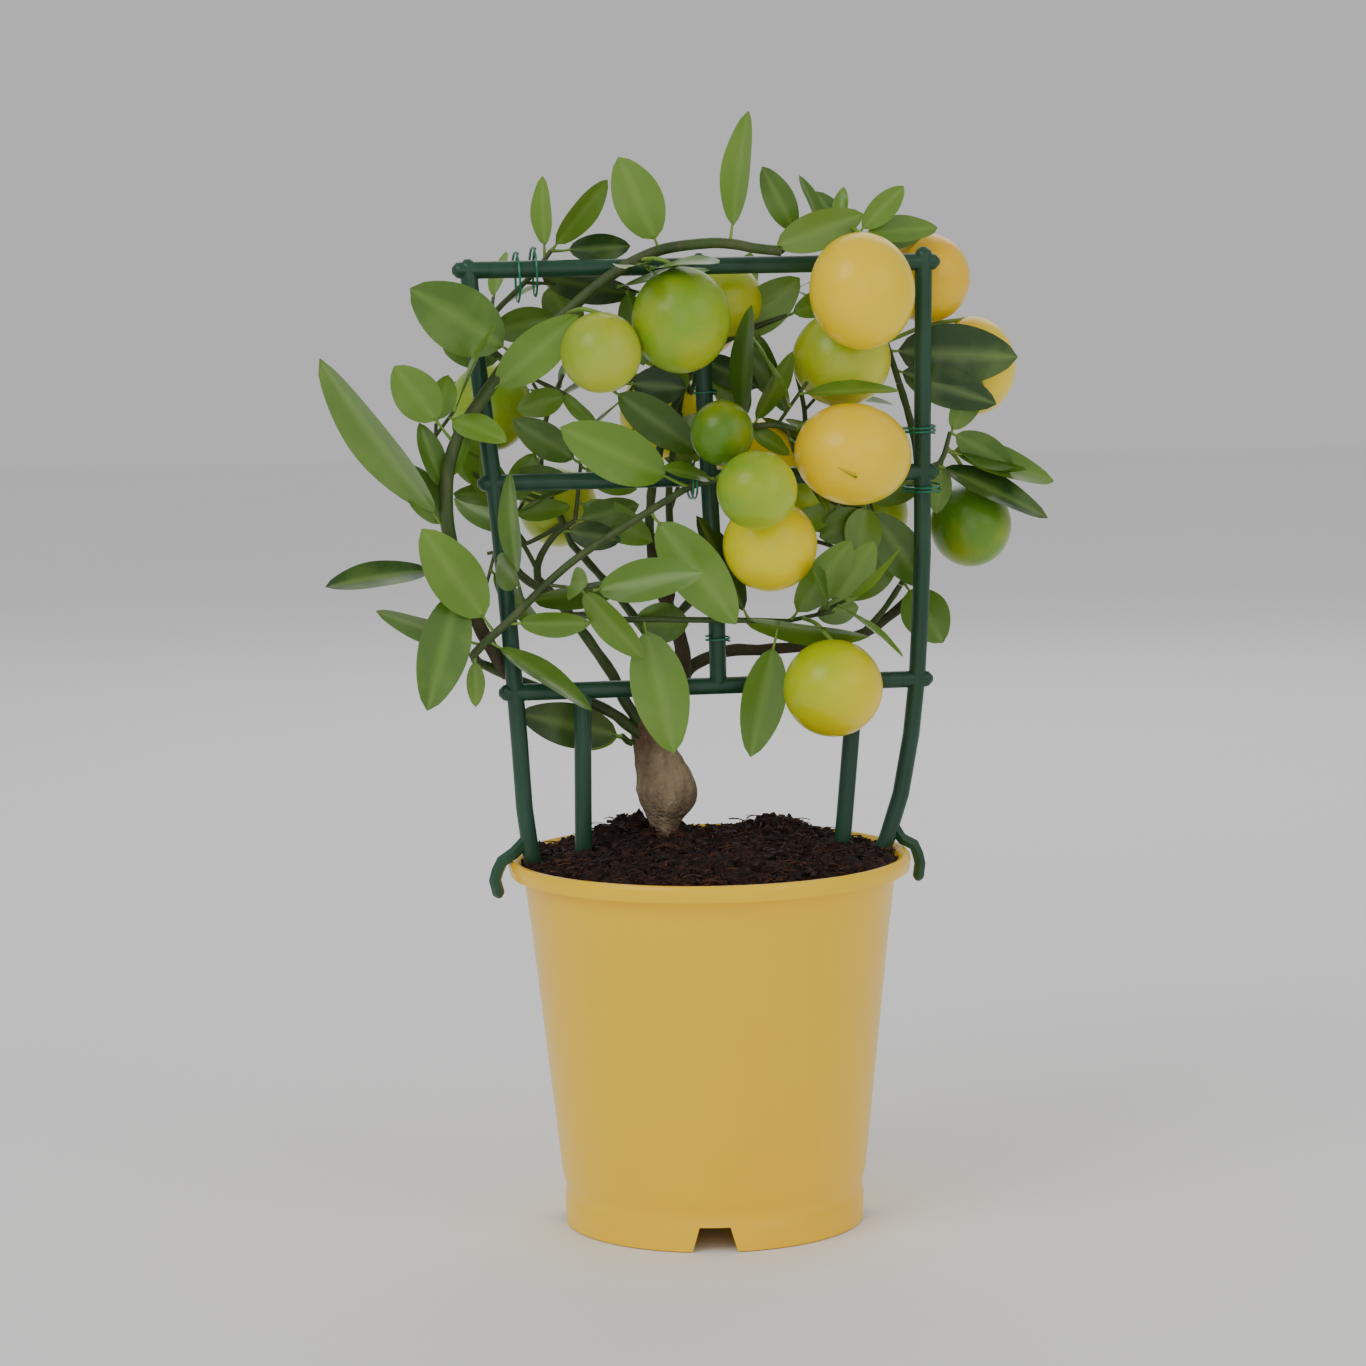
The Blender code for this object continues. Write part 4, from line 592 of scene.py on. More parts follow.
def following(way):
    """The first two points of what follows a limb: a gap past its tip, and on in line with it."""
    heading = tangents_of(way)[-1]
    return tuple(way[-1] + heading * GAP), tuple(way[-1] + heading * (GAP + 3.0))


def limb_way(name):
    """The smooth way of a bough; one that follows another starts in line with it."""
    points = BOUGHS[name][0]
    if name in FOLLOWS:
        points = following(limb_way(FOLLOWS[name])) + points[1:]
    return smooth_way(points, LIMB_STEP)


shoot_green = finish("shoot_look", (0.055, 0.10, 0.022),
                     ((70.0, (0.035, 0.06, 0.018), 0.8, (1, 1, 0.4)),
                      (190.0, (0.12, 0.12, 0.05), 0.35, (1, 1, 0.3))), 0.5, (700.0, 0.3, 0.0008))
shoot_brown = finish("old_shoot_look", (0.075, 0.05, 0.03),
                     ((80.0, (0.05, 0.07, 0.025), 0.8, (1, 1, 0.3)),), 0.75, (600.0, 0.6, 0.0012))
for seed, (name, (_, foot, tip)) in enumerate(BOUGHS.items()):
    way = smooth_way(limb_way(name), FINE_LIMB_STEP)
    knots = 1 + 0.05 * np.sin(np.arange(len(way)) * 0.9 + seed)
    points, faces = loft(way, np.linspace(foot, tip, len(way)) * knots, FINE_LIMB_SIDES)
    points = roughened(points, np.repeat(way, FINE_LIMB_SIDES, axis=0), BOUGH_RELIEF, seed)
    look = shoot_brown if name in OLD_BOUGHS else shoot_green
    piece(name + "_bark", points, faces, look, "shoots", [name])


# The foliage is fifteen masses of shoots, stalked leaves and hanging fruit. The leaves that show
# are given one by one, and a seeded rule adds twigs, most of them behind. A first pass places
# plain blades clear of all other pieces, and then each mass gets fine ones in the same places.

# A shoot: its way, foot and tip radius, and its leaves; the first shoot is the mass's stem.
# A leaf: place along the shoot (0 to 1), heading in the trellis plane (degrees, 0 to the
# right, 90 up), lean to the back (degrees), stalk, blade length and width that shows.
# A fruit: centre, half width, half height, tilt (degrees), and shoot and place of its stalk.
# "space" is the box that a mass keeps to, and "twigs" how many the rule adds.
MASSES = {
    "arch_left_foliage": {
        "from": "left_riser",
        "shoots": (
            (((-121, -11, 320), (-125, -12, 335), (-128, -13, 351), (-128, -14, 375),
              (-121.7, -14, 395), (-110.6, -14, 412), (-96.1, -14, 431.7)), 3.6, 3.2,
             ((0.28, 126, -8, 9, 95, 19), (0.42, 108, 4, 2, 33, 12), (0.46, 70, -6, 2, 28, 9),
              (0.62, 127, -8, 12, 34, 22), (0.82, 41, -14, 6, 53, 22), (0.16, -174, -10, 10, 52.5, 11),
              (0.10, -107, -12, 2, 60, 25), (0.27, 119, 14, 4, 34, 17))),
            (((-129, -10, 356), (-132, -4, 378), (-131.5, -1, 400)), 1.3, 0.9,
             ((1.0, 72, 22, 2, 24, 13),))),
        "fruits": (), "space": ((-192, -100), (-75, 12), (262, 470)), "twigs": 1, "seed": 11},
    "arch_top_foliage": {
        "from": "arch_left_foliage",
        "shoots": (
            (((-88.7, -14, 437.8), (-73.8, -14, 449), (-48.6, -14, 469.3), (-23.4, -14, 482.3),
              (6.6, -14, 485.7), (24.4, -14, 482.9), (37.7, -14, 481.2)), 3.1, 2.5,
             ((0.02, 147, -7, 3, 54, 32), (0.60, 114, -6, 3, 44, 24), (0.83, 82, -2, 6, 56, 11),
              (0.95, 19, -8, 3, 45, 19))),
            (((33, -11, 483), (50, -4, 488), (66, -1, 491), (80, 2, 489)), 1.6, 1.2,
             ((0.30, 118, -10, 3, 36, 15), (0.60, 112, 4, 2, 27, 7), (0.74, 77, 14, 2, 19, 7),
              (0.98, 43, 6, 2, 30, 13), (1.0, 3, 12, 3, 38, 13)))),
        "fruits": (((-54.3, -34, 434.6), 19.5, 19.5, 10, 0, 0.22),
                   ((-14.4, -29, 449.2), 23.9, 25.7, 4, 0, 0.52),
                   ((73.3, -36, 461.6), 25.6, 28.4, -6, 1, 0.78)),
        "space": ((-160, 120), (-80, 30), (405, 548)), "twigs": 2, "seed": 23},
    "diagonal_foliage": {
        "from": "low_left_bough",
        "shoots": (
            (((-113.5, -9.5, 291), (-109, -13.5, 296), (-99.3, -15, 304.4), (-69.8, -15, 331),
              (-31.9, -15, 354.8), (-7.5, -12.5, 367.8), (4, -15, 371)), 2.2, 1.7,
             ((0.07, 162, -18, 5, 53, 14), (0.03, -91, -5, 2, 22, 9), (0.13, 124, -14, 8, 56, 26),
              (0.18, -1, -12, 4, 35, 13), (0.10, -35, -10, 4, 55, 10), (0.28, 6, 14, 0, 54, 14),
              (0.76, -54, -8, 5, 63, 27), (0.91, 154, -12, 12, 60, 27), (1.0, 166, -22, 2, 31, 7))),),
        "fruits": (((17.3, -54, 367.9), 19.5, 19.0, 12, 0, 1.0),
                   ((29.2, -20, 338.3), 23.2, 22.8, 0, 0, 1.0)),
        "space": ((-170, 56), (-95, 3), (255, 405)), "twigs": 2, "seed": 31},
    "cross_foliage": {
        "from": "cross_shoot",
        "shoots": (
            (((-27, -9, 302.5), (-5, -9.5, 301.5), (15.6, -9.5, 300.7), (38.3, -9.5, 299.4)), 1.6, 1.4,
             ((0.14, -79, -8, 4, 62, 28), (0.70, -9, -9, 2, 63, 12), (0.96, -104, -7, 12, 55, 22),
              (0.78, 115, 3, 4, 62, 18), (0.05, -8, 18, 2, 30, 20))),
            (((36, -9, 299.8), (50, -6, 301), (64, -2, 303)), 1.2, 1.0,
             ((0.10, 53, -10, 4, 45, 19), (0.95, 57, 0, 2, 38, 17), (1.0, 64, 14, 2, 32, 15),
              (0.60, 6, 16, 0, 24, 13)))),
        "fruits": (((57.7, -31, 268.1), 24.4, 23.9, 0, 1, 0.35),),
        "space": ((-60, 110), (-80, 16), (230, 362)), "twigs": 1, "seed": 43},
    "centre_foliage": {
        "from": "centre_branch",
        "shoots": (
            (((24, -11, 396), (34, -13, 396.5), (44, -14, 394)), 1.8, 1.5,
             ((0.10, 86, -5, 2, 56, 8), (0.30, 62, -9, 2, 38, 12), (0.20, -34, 4, 0, 24, 9))),),
        "fruits": (((68.3, -34, 382.7), 28.6, 24.8, 8, 0, 1.0),
                   ((5.1, -27, 394.1), 15.4, 16.0, 0, 0, 0.12)),
        "space": ((-20, 105), (-100, 14), (352, 455)), "twigs": 2, "seed": 53},
    "middle_left_foliage": {
        "from": "left_bough",
        "shoots": (
            (((-81, 20, 326), (-79, 19.5, 333), (-72, 18.5, 343), (-62, 17, 350)), 2.1, 1.2,
             ((0.80, -12, -4, 2, 26, 14), (1.0, 12, 2, 2, 30, 14))),
            (((-80.5, 20, 329), (-86, 21, 336), (-92, 21, 346), (-94, 22, 358)), 1.3, 0.9,
             ((0.85, 8, 0, 2, 27, 10), (1.0, 62, 4, 2, 26, 15), (1.0, 118, 12, 2, 26, 12))),
            (((-66, 18, 349), (-60, 20, 362), (-58, 22, 378)), 1.2, 0.9,
             ((0.6, 168, 4, 2, 30, 14), (1.0, 146, 2, 3, 36, 17), (0.95, -24, 2, 2, 28, 15),
              (0.35, -30, 6, 2, 40, 18)))),
        "fruits": (), "space": ((-122, -16), (8, 47), (286, 402)), "twigs": 2, "seed": 61},
    "upper_left_foliage": {
        "from": "left_post_shoot",
        "shoots": (
            (((-106.5, 14, 440), (-100, 14.5, 453), (-88, 13, 465), (-79, 12, 474), (-72, 12, 483)),
             1.7, 1.2,
             ((0.93, 91, 0, 5, 34, 9), (1.0, 49, 4, 3, 41, 14), (1.0, 2, 10, 8, 32, 14),
              (0.80, -13, 8, 3, 50, 15), (0.28, 10, 12, 2, 34, 17))),
            (((-106, 15, 436), (-88, 19, 424), (-74, 20, 417), (-64, 19, 412)), 1.3, 0.9,
             ((1.0, -166, -6, 1, 25, 14), (0.9, -44, -4, 1, 24, 7), (0.6, 52, 8, 2, 34, 14),
              (0.3, 168, 10, 2, 28, 14)))),
        "fruits": (), "space": ((-140, -26), (7, 52), (404, 516)), "twigs": 2, "seed": 71},
    "upper_centre_foliage": {
        "from": "upper_stem",
        "shoots": (
            (((14, 24, 436), (32, 20, 444), (46, 18, 449)), 1.8, 1.2,
             ((0.35, 40, -8, 2, 44, 22), (0.12, -58, -16, 2, 34, 18), (0.45, -55, -6, 4, 34, 15),
              (0.65, -71, -4, 2, 42, 10), (1.0, 20, 0, 2, 34, 14))),
            (((2, 25, 431), (-14, 21, 428), (-28, 18, 421), (-42, 16, 414)), 1.4, 0.9,
             ((0.30, -95, -12, 0, 20, 16), (0.10, -27, -16, 2, 34, 14), (0.85, -6, -6, 2, 27, 19),
              (1.0, -37, -4, 2, 50, 20), (0.7, 164, 4, 2, 32, 14)))),
        "fruits": (((17.4, 26, 456.5), 17.6, 18.4, 0, 0, 0.4),),
        "space": ((-62, 62), (6, 54), (366, 484)), "twigs": 2, "seed": 83},
    "upper_right_foliage": {
        "from": "right_riser",
        "shoots": (
            (((99.5, 19, 424), (96, 22, 436), (90, 24, 452), (84, 22, 470), (81, 18, 482)), 1.7, 1.2,
             ((0.10, -20, -10, 2, 50, 20), (0.24, -4, -11, 3, 60, 30), (0.60, 50, -22, 2, 24, 8),
              (0.55, 10, -16, 2, 26, 9), (1.0, 12, 10, 3, 36, 13), (0.95, 122, 8, 2, 34, 14))),),
        "fruits": (((119.6, 31, 465.8), 21.8, 22.4, 0, 0, 0.8),
                   ((70.1, 2, 427.4), 24.4, 23.6, 6, 0, 0.55),
                   ((145.6, 43, 420.9), 21.6, 25.0, -4, 0, 0.30)),
        "space": ((50, 168), (-26, 68), (384, 512)), "twigs": 2, "seed": 97},
    "right_foliage": {
        "from": "right_outer_branch",
        "shoots": (
            (((125.5, 20.8, 377.5), (129, 22, 389)), 1.5, 1.1,
             ((0.05, -26, -5, 2, 59, 14), (0.30, -94, -12, 2, 26, 12), (0.55, -17, 12, 3, 59, 15),
              (0.50, -15, -2, 6, 36, 6), (1.0, -30, -4, 2, 34, 16), (0.9, 60, 16, 2, 30, 14))),),
        "fruits": (((142.3, 36, 340.8), 20.6, 21.2, 0, 0, 0.6),),
        "space": ((112, 190), (2, 66), (318, 404)), "twigs": 1, "seed": 101},
    "lower_right_foliage": {
        "from": "right_spur",
        "shoots": (
            (((105.5, 25, 322), (96, 20, 338), (84, 15, 354)), 1.5, 1.1,
             ((0.95, -55, -6, 2, 46, 22), (0.90, -156, -4, 2, 26, 18), (1.0, -100, -14, 0, 28, 19),
              (0.25, -158, 6, 2, 38, 20), (0.05, -60, 4, 4, 32, 24), (1.0, 80, 2, 2, 30, 14))),),
        "fruits": (((52.5, 26, 360.1), 12.2, 12.2, 0, 0, 1.0),),
        "space": ((38, 142), (6, 50), (276, 383)), "twigs": 2, "seed": 103},
    "low_foliage": {
        "from": "trunk",
        "shoots": (
            (((-37.2, 21, 238.5), (-40.5, 16, 242)), 1.8, 1.5,
             ((1.0, 165, -8, 1, 52, 22), (0.8, 175, 40, 2, 40, 18))),),
        "fruits": (), "space": ((-100, -36), (5, 60), (228, 268)), "twigs": 0, "seed": 107},
    "back_left_foliage": {
        "from": "back_left_bough",
        "shoots": (
            (((-62, 63, 345), (-72, 66, 368), (-70, 68, 395), (-60, 70, 420)), 1.8, 1.1, ()),
            (((-66, 64, 354), (-88, 62, 364), (-108, 58, 372)), 1.4, 0.9, ()),
            (((-60, 63, 340), (-80, 70, 335), (-100, 74, 330)), 1.4, 0.9, ())),
        "fruits": (((-62, 84, 352), 20.0, 20.5, 0, 0, 0.3), ((-96, 80, 404), 21.0, 22.5, 0, 0, 0.9)),
        "space": ((-132, -24), (50, 112), (282, 458)), "twigs": 7, "seed": 139},
    "back_right_foliage": {
        "from": "back_right_bough",
        "shoots": (
            (((52, 64, 348), (60, 62, 372), (62, 60, 398), (56, 58, 424)), 1.8, 1.1, ()),
            (((56, 63, 356), (78, 62, 362), (98, 60, 372)), 1.4, 0.9, ()),
            (((48, 66, 340), (68, 66, 332), (88, 66, 324)), 1.4, 0.9, ())),
        "fruits": (((40, 74, 372), 22.0, 22.5, 0, 0, 0.35), ((94, 62, 346), 21.0, 22.0, 0, 1, 0.7)),
        "space": ((18, 132), (50, 88), (276, 458)), "twigs": 7, "seed": 113},
    "back_centre_foliage": {
        "from": "back_bough",
        "shoots": (
            (((-7, 63, 330), (-8, 62, 360), (-4, 58, 395), (2, 54, 430), (6, 50, 462)), 2.2, 1.1, ()),
            (((-8, 62, 350), (-2, 74, 360), (2, 84, 366)), 1.4, 0.9, ()),
            (((-4, 58, 398), (6, 68, 412), (10, 76, 424)), 1.4, 0.9, ())),
        "fruits": (((-8, 80, 398), 22.0, 23.5, 0, 1, 0.9), ((12, 74, 446), 19.0, 19.5, 0, 2, 0.9)),
        "space": ((-24, 20), (40, 101), (300, 512)), "twigs": 6, "seed": 127},
}
LOW_STEM_START = (-34.7, 21.4, 237.5)
CROWN_MIDDLE = (0.0, 25.0, 370.0)
TWIG_LENGTHS = (12.0, 30.0)
LEAF_LENGTHS = (38.0, 54.0)
SHOW_STALK = 7.0                     # a shorter stalk is part of its blade
STALK_LAP = 3.0
LEAF_SINK = 0.5
PROBE_SWELL = 0.75                   # clearance kept between a leaf and other pieces
LEAF_THICKNESS = 1.5                 # at the midrib
LEAF_FOLD = 0.10                     # rise of the blade's edges, as a share of its width
LEAF_FULLNESS = 0.40                 # width of a blade as a share of its length
PLAIN_TRUNK = (6.0, 12)              # between rings, and sides, of the plain trunk
LIMB_SIDES, TWIG_SIDES = 6, 3        # of the plain limbs and twigs
THICK_SHOOT = 1.9                    # a shoot this thick at its foot has a limb's sides
STEM_STEP = 12.0
TWIG_RADIUS = 1.0
STALK_RADIUS = 1.1
GOLDEN_ANGLE = math.radians(137.5)
# What is tried in turn for a leaf that would touch: more lean, side it rolls to, share of its size
LEAF_TRIALS = ((0, 1, 1.0), (0, -1, 1.0), (-8, 1, 1.0), (8, 1, 1.0), (-8, -1, 1.0), (8, -1, 1.0),
               (-16, 1, 1.0), (16, 1, 1.0), (-16, -1, 1.0), (16, -1, 1.0), (-24, 1, 1.0), (24, 1, 1.0),
               (0, 1, 0.85), (0, -1, 0.85), (-12, 1, 0.85), (12, 1, 0.85), (-32, 1, 0.9), (32, 1, 0.9))
TWIG_TRIALS = 40

# Open sky through the crown, seen from the front: U, Z, half width, half height
EYE = (-319.0, -2015.0, 511.0)
SKY = ((-85.7, 334.0, 11.0, 13.0), (-75.3, 362.8, 6.5, 4.0), (-54.0, 282.0, 17.0, 11.0),
       (-89.4, 397.4, 11.0, 7.5), (100.7, 425.4, 6.0, 13.0), (96.0, 302.0, 9.0, 24.0),
       (77.0, 280.0, 20.0, 7.0), (31.4, 311.3, 10.0, 6.0), (-62.0, 346.7, 10.0, 4.0),
       (-3.0, 290.5, 6.0, 7.0))
CROWN_OUTLINE = ((-128.0, 134.0), (270.0, 486.0), 40.0)    # U range, Z range, corner radius


class Placed:
    """The plain shapes placed so far, to keep new ones clear of them."""

    def __init__(self):
        self.trees = []

    def add(self, name, shape):
        self.trees.append((name, BVHTree.FromPolygons(*map(list, shape))))

    def touches(self, own, shape):
        probe = BVHTree.FromPolygons(*map(list, shape))
        return any(name != own and tree.overlap(probe) for name, tree in self.trees)


def heading_vector(heading, lean):
    """The direction at that heading in the trellis plane and that lean to the back."""
    heading, lean = math.radians(heading), math.radians(lean)
    return np.array((math.cos(heading) * math.cos(lean), math.sin(lean),
                     math.sin(heading) * math.cos(lean)))


def leaf(root, direction, facing, length, width, swell=0.0):
    """A blade of eight faces: root, tip, two edges raised a little, and the midrib's two sides."""
    facing = unit(facing - direction * np.dot(facing, direction))
    across = np.cross(direction, facing)
    middle = root + direction * length * 0.46
    half = width / 2 + swell
    thick = LEAF_THICKNESS / 2 + swell
    points = [root - direction * swell, root + direction * (length + swell),
              middle + across * half + facing * LEAF_FOLD * width,
              middle - across * half + facing * LEAF_FOLD * width,
              middle + facing * thick, middle - facing * thick]
    faces = [(0, 2, 4), (2, 1, 4), (1, 3, 4), (3, 0, 4), (2, 0, 5), (1, 2, 5), (3, 1, 5), (0, 3, 5)]
    return points, faces


def stem_way(spec):
    """The smooth way of a mass's stem: it starts a gap past the limb or stem it follows."""
    source = spec["from"]
    if source == "trunk":
        start = (LOW_STEM_START,)
    elif source in MASSES:
        start = following(stem_way(MASSES[source]))
    else:
        start = following(limb_way(source))
    return smooth_way(start + spec["shoots"][0][0], STEM_STEP)


def shoot_ways(spec):
    """The ways of all the shoots: side shoots start on the stem's axis, where they are nearest."""
    stem = stem_way(spec)
    ways = [stem]
    for points, *_ in spec["shoots"][1:]:
        nearest = stem[np.argmin(np.linalg.norm(stem - points[0], axis=1))]
        ways.append(smooth_way((tuple(nearest),) + points[1:], STEM_STEP))
    return ways


def along(way, place):
    """The point and direction at that share of a way."""
    steps = np.linalg.norm(np.diff(way, axis=0), axis=1)
    reached = np.concatenate([[0.0], np.cumsum(steps)])
    target = place * reached[-1]
    point = np.array([np.interp(target, reached, way[:, k]) for k in range(3)])
    i = min(int(np.searchsorted(reached, target)), len(way) - 1)
    return point, tangents_of(way)[i]


def seen_from_front(point):
    """U and Z where the sight line to the point crosses the trellis plane."""
    eye = np.array(EYE)
    share = (0.0 - eye[1]) / (point[1] - eye[1])
    crossed = eye + share * (point - eye)
    return crossed[0], crossed[2]


def keeps_place(points, space):
    """Whether a rule-grown piece stays in its space and outline and leaves the sky gaps open."""
    for point in points:
        if any(not low <= value <= high for value, (low, high) in zip(point, space)):
            return False
        u, z = seen_from_front(point)
        if any(((u - a) / c) ** 2 + ((z - b) / d) ** 2 < 1 for a, b, c, d in SKY):
            return False
        (left, right), (low, high), corner = CROWN_OUTLINE
        beside = max(left + corner - u, u - right + corner, 0.0)
        above = max(low + corner - z, z - high + corner, 0.0)
        if math.hypot(beside, above) > corner:
            return False
    return True


def leaf_shapes(point, direction, facing, row, shoot_radius, swell=0.0):
    """A leaf's stalk, when it has one to show, and its blade, rooted on a shoot's axis."""
    stalk, length, width = row
    if stalk < SHOW_STALK:
        root = point - direction * LEAF_SINK
        return [leaf(root, direction, facing, length + stalk + shoot_radius, width, swell)]
    end = point + direction * (stalk + shoot_radius)
    stem = loft(np.array([point - direction * LEAF_SINK, end]), STALK_RADIUS + swell, TWIG_SIDES)
    return [stem, leaf(end - direction * STALK_LAP, direction, facing, length + STALK_LAP, width, swell)]


def shown_facing(direction, shown, width, side):
    """Which way a blade faces for its width to show as given from the front."""
    front = np.array((0.0, -1.0, 0.0))
    front = unit(front - direction * np.dot(front, direction))
    roll = side * math.acos(min(1.0, shown / width))
    return front * math.cos(roll) + np.cross(direction, front) * math.sin(roll)


def rule_twig(rng, way, number):
    """A twig's root and tip by the seeded rule: round the shoot by the golden angle, out and up."""
    point, tangent = along(way, rng.uniform(0.25, 0.95))
    side = unit(np.cross(tangent, (0.31, 0.82, 0.47)))
    turn = number * GOLDEN_ANGLE
    radial = math.cos(turn) * side + math.sin(turn) * np.cross(tangent, side)
    direction = unit(0.45 * tangent + radial + np.array((0.0, 0.0, 0.25)))
    return point, point + direction * rng.uniform(*TWIG_LENGTHS)


def rule_leaves(rng, root, tip):
    """The leaves of a rule-grown twig: two on its sides and one on its tip."""
    direction = unit(tip - root)
    side = unit(np.cross(direction, (0.2, 0.3, 0.93)))
    found = []
    for k, place in enumerate((0.45, 0.75, 1.0)):
        turn = k * GOLDEN_ANGLE + rng.uniform(-0.4, 0.4)
        radial = math.cos(turn) * side + math.sin(turn) * np.cross(direction, side)
        spread = math.radians(55.0 if place < 1.0 else 15.0)
        heading = math.cos(spread) * direction + math.sin(spread) * radial
        point = root + (tip - root) * place
        facing = unit(unit(point - np.array(CROWN_MIDDLE)) + np.array((0.0, 0.0, 0.8)))
        found.append((point, heading, facing, rng.uniform(*LEAF_LENGTHS)))
    return found


def ellipsoid(centre, half_width, half_height, tilt, segments=10, rings=7):
    """A fruit: (half width * sin p * (cos a, sin a), half height * cos p) for the polar angle p
    and the turn a, leaned by its tilt in the trellis plane. Points and faces."""
    polar = (math.pi * np.arange(1, rings) / rings)[:, None]
    turn = 2 * math.pi * np.arange(segments) / segments
    u = half_width * np.sin(polar) * np.cos(turn)
    w = half_width * np.sin(polar) * np.sin(turn)
    z = half_height * np.cos(polar) + 0 * turn
    poles = ((0.0, 0.0, half_height), (0.0, 0.0, -half_height))
    points = np.vstack((np.stack((u, w, z), axis=2).reshape(-1, 3), poles))
    lean = np.array(Matrix.Rotation(math.radians(tilt), 3, "Y"))
    top, last = (rings - 1) * segments, (rings - 2) * segments
    faces = ring_faces(rings - 1, segments, INWARD)
    for k in range(segments):
        after = (k + 1) % segments
        faces += [(top, k, after), (top + 1, last + after, last + k)]
    return points @ lean.T + centre, faces


def place_shoots(name, spec):
    """Takes the room of a mass's shoots, fruits and fruit stalks."""
    ways = shoot_ways(spec)
    for way, (_, foot, tip, _) in zip(ways, spec["shoots"]):
        sides = LIMB_SIDES if foot > THICK_SHOOT else TWIG_SIDES
        placed.add(name, loft(way, np.linspace(foot, tip, len(way)), sides))
    for centre, half_width, half_height, tilt, shoot, place in spec["fruits"]:
        placed.add(name, ellipsoid(centre, half_width, half_height, tilt))
        top = np.array(centre) + (0.0, 0.0, half_height * 0.86)
        hanger = np.array([along(ways[shoot], place)[0], top])
        placed.add(name, loft(hanger, STALK_RADIUS + 0.3, TWIG_SIDES))


def place_leaves(name, spec):
    """The leaves given one by one; each is rolled or leaned a little more where it would touch."""
    kept = []
    for way, (_, foot, tip, rows) in zip(shoot_ways(spec), spec["shoots"]):
        for number, (place, heading, lean, stalk, length, shown) in enumerate(rows):
            point, _ = along(way, place)
            radius = foot + (tip - foot) * place
            width = max(shown, LEAF_FULLNESS * length)
            for more, side, share in LEAF_TRIALS:
                direction = heading_vector(heading, lean + more)
                facing = shown_facing(direction, shown, width, side if number % 2 else -side)
                given = (point, direction, facing, (stalk, length * share, width * share), radius)
                if not any(placed.touches(name, probe) for probe in leaf_shapes(*given, PROBE_SWELL)):
                    kept.append(given)
                    for shape in leaf_shapes(*given):
                        placed.add(name, shape)
                    break
    return kept


def place_twigs(name, spec):
    """The twigs and leaves that the seeded rule adds, where the mass's space has room."""
    ways = shoot_ways(spec)
    rng = random.Random(spec["seed"])
    twigs, kept = [], []
    for number in range(TWIG_TRIALS * spec["twigs"]):
        if len(twigs) == spec["twigs"]:
            break
        root, tip = rule_twig(rng, ways[number % len(ways)], number)
        twig = np.array([root, tip])
        probe = loft(twig, TWIG_RADIUS + PROBE_SWELL, TWIG_SIDES)
        if not keeps_place([tip], spec["space"]) or placed.touches(name, probe):
            continue
        held = []
        for point, heading, facing, full in rule_leaves(rng, root, tip):
            for length in (full, 0.8 * full, 0.65 * full):
                given = (point, heading, facing, (1.0, length, LEAF_FULLNESS * length), TWIG_RADIUS)
                probe = leaf_shapes(*given, PROBE_SWELL)[0]
                if keeps_place(probe[0], spec["space"]) and not placed.touches(name, probe):
                    held.append(given)
                    break
        if len(held) > 1:
            twigs.append(twig)
            kept += held
            placed.add(name, loft(twig, TWIG_RADIUS, TWIG_SIDES))
            for given in held:
                placed.add(name, leaf_shapes(*given)[0])
    return twigs, kept


placed = Placed()
for shapes in trellis.values():
    for shape in shapes:
        placed.add("trellis", shape)
placed.add("trunk", trunk_shape(*PLAIN_TRUNK))
for name, (_, foot, tip) in BOUGHS.items():
    way = limb_way(name)
    placed.add(name, loft(way, np.linspace(foot, tip, len(way)), LIMB_SIDES))
for name, given in TIES.items():
    placed.add(name, tie_shape(*given))
for name, spec in MASSES.items():
    place_shoots(name, spec)
leaves = {name: place_leaves(name, spec) for name, spec in MASSES.items()}
twigs = {}
for name, spec in MASSES.items():
    twigs[name], more = place_twigs(name, spec)
    leaves[name] += more


# The fine shoots, blades, fruit and stalks of each mass. Leaves are light green on young shoots
# and glossy dark green on old ones, with a paler midrib. Each fruit's tint runs along one direction,
# the same for all: partly ripening colour, partly painted light and shade on opposite sides.
LIGHT, MIDDLE, DARK_GREEN, FRESH = ((0.14, 0.27, 0.025), (0.08, 0.175, 0.016), (0.022, 0.065, 0.010),
                                    (0.11, 0.22, 0.02))
LEAF_TONES = (LIGHT, MIDDLE, FRESH, LIGHT, MIDDLE)
DARK_LEAVES = {"arch_left_foliage": (5,), "upper_left_foliage": (2, 3), "upper_right_foliage": (0, 1),
               "right_foliage": (0,), "low_foliage": (0,), "cross_foliage": (3,),
               "upper_centre_foliage": (6, 7), "middle_left_foliage": (0,)}
MIDRIB = (0.30, 0.46, 0.10)
MIDRIB_WIDTH, MIDRIB_SHARE = 0.14, 0.3
# Each fruit's colour on its painted shaded side and on its painted lit side, both partly ripening colour
# too
FRUIT_TONES = (((0.62, 0.66, 0.05), (0.33, 0.46, 0.03)), ((0.36, 0.50, 0.025), (0.18, 0.36, 0.02)),
               ((1.0, 0.72, 0.0), (1.0, 0.66, 0.0)), ((0.52, 0.62, 0.04), (0.20, 0.38, 0.02)),
               ((1.0, 0.74, 0.0), (0.80, 0.72, 0.0)), ((1.0, 0.72, 0.0), (0.45, 0.56, 0.0)),
               ((1.0, 0.70, 0.0), (1.0, 0.64, 0.0)), ((0.12, 0.27, 0.015), (0.10, 0.22, 0.012)),
               ((0.72, 0.70, 0.05), (0.40, 0.55, 0.03)), ((1.0, 0.60, 0.0), (1.0, 0.56, 0.0)),
               ((0.70, 0.68, 0.05), (0.38, 0.50, 0.03)), ((1.0, 0.76, 0.02), (0.98, 0.70, 0.01)),
               ((0.16, 0.32, 0.02), (0.10, 0.24, 0.015)), ((0.50, 0.60, 0.04), (0.25, 0.42, 0.02)))
# The painted lit side of every fruit, partly also its ripening side: one direction for all fruits
LIT_AND_RIPENING_SIDE = (-0.7, -0.3, 0.55)
BLADE_STATIONS, BLADE_ACROSS = 14, 6
FRUIT_SEGMENTS, FRUIT_RINGS = 48, 32
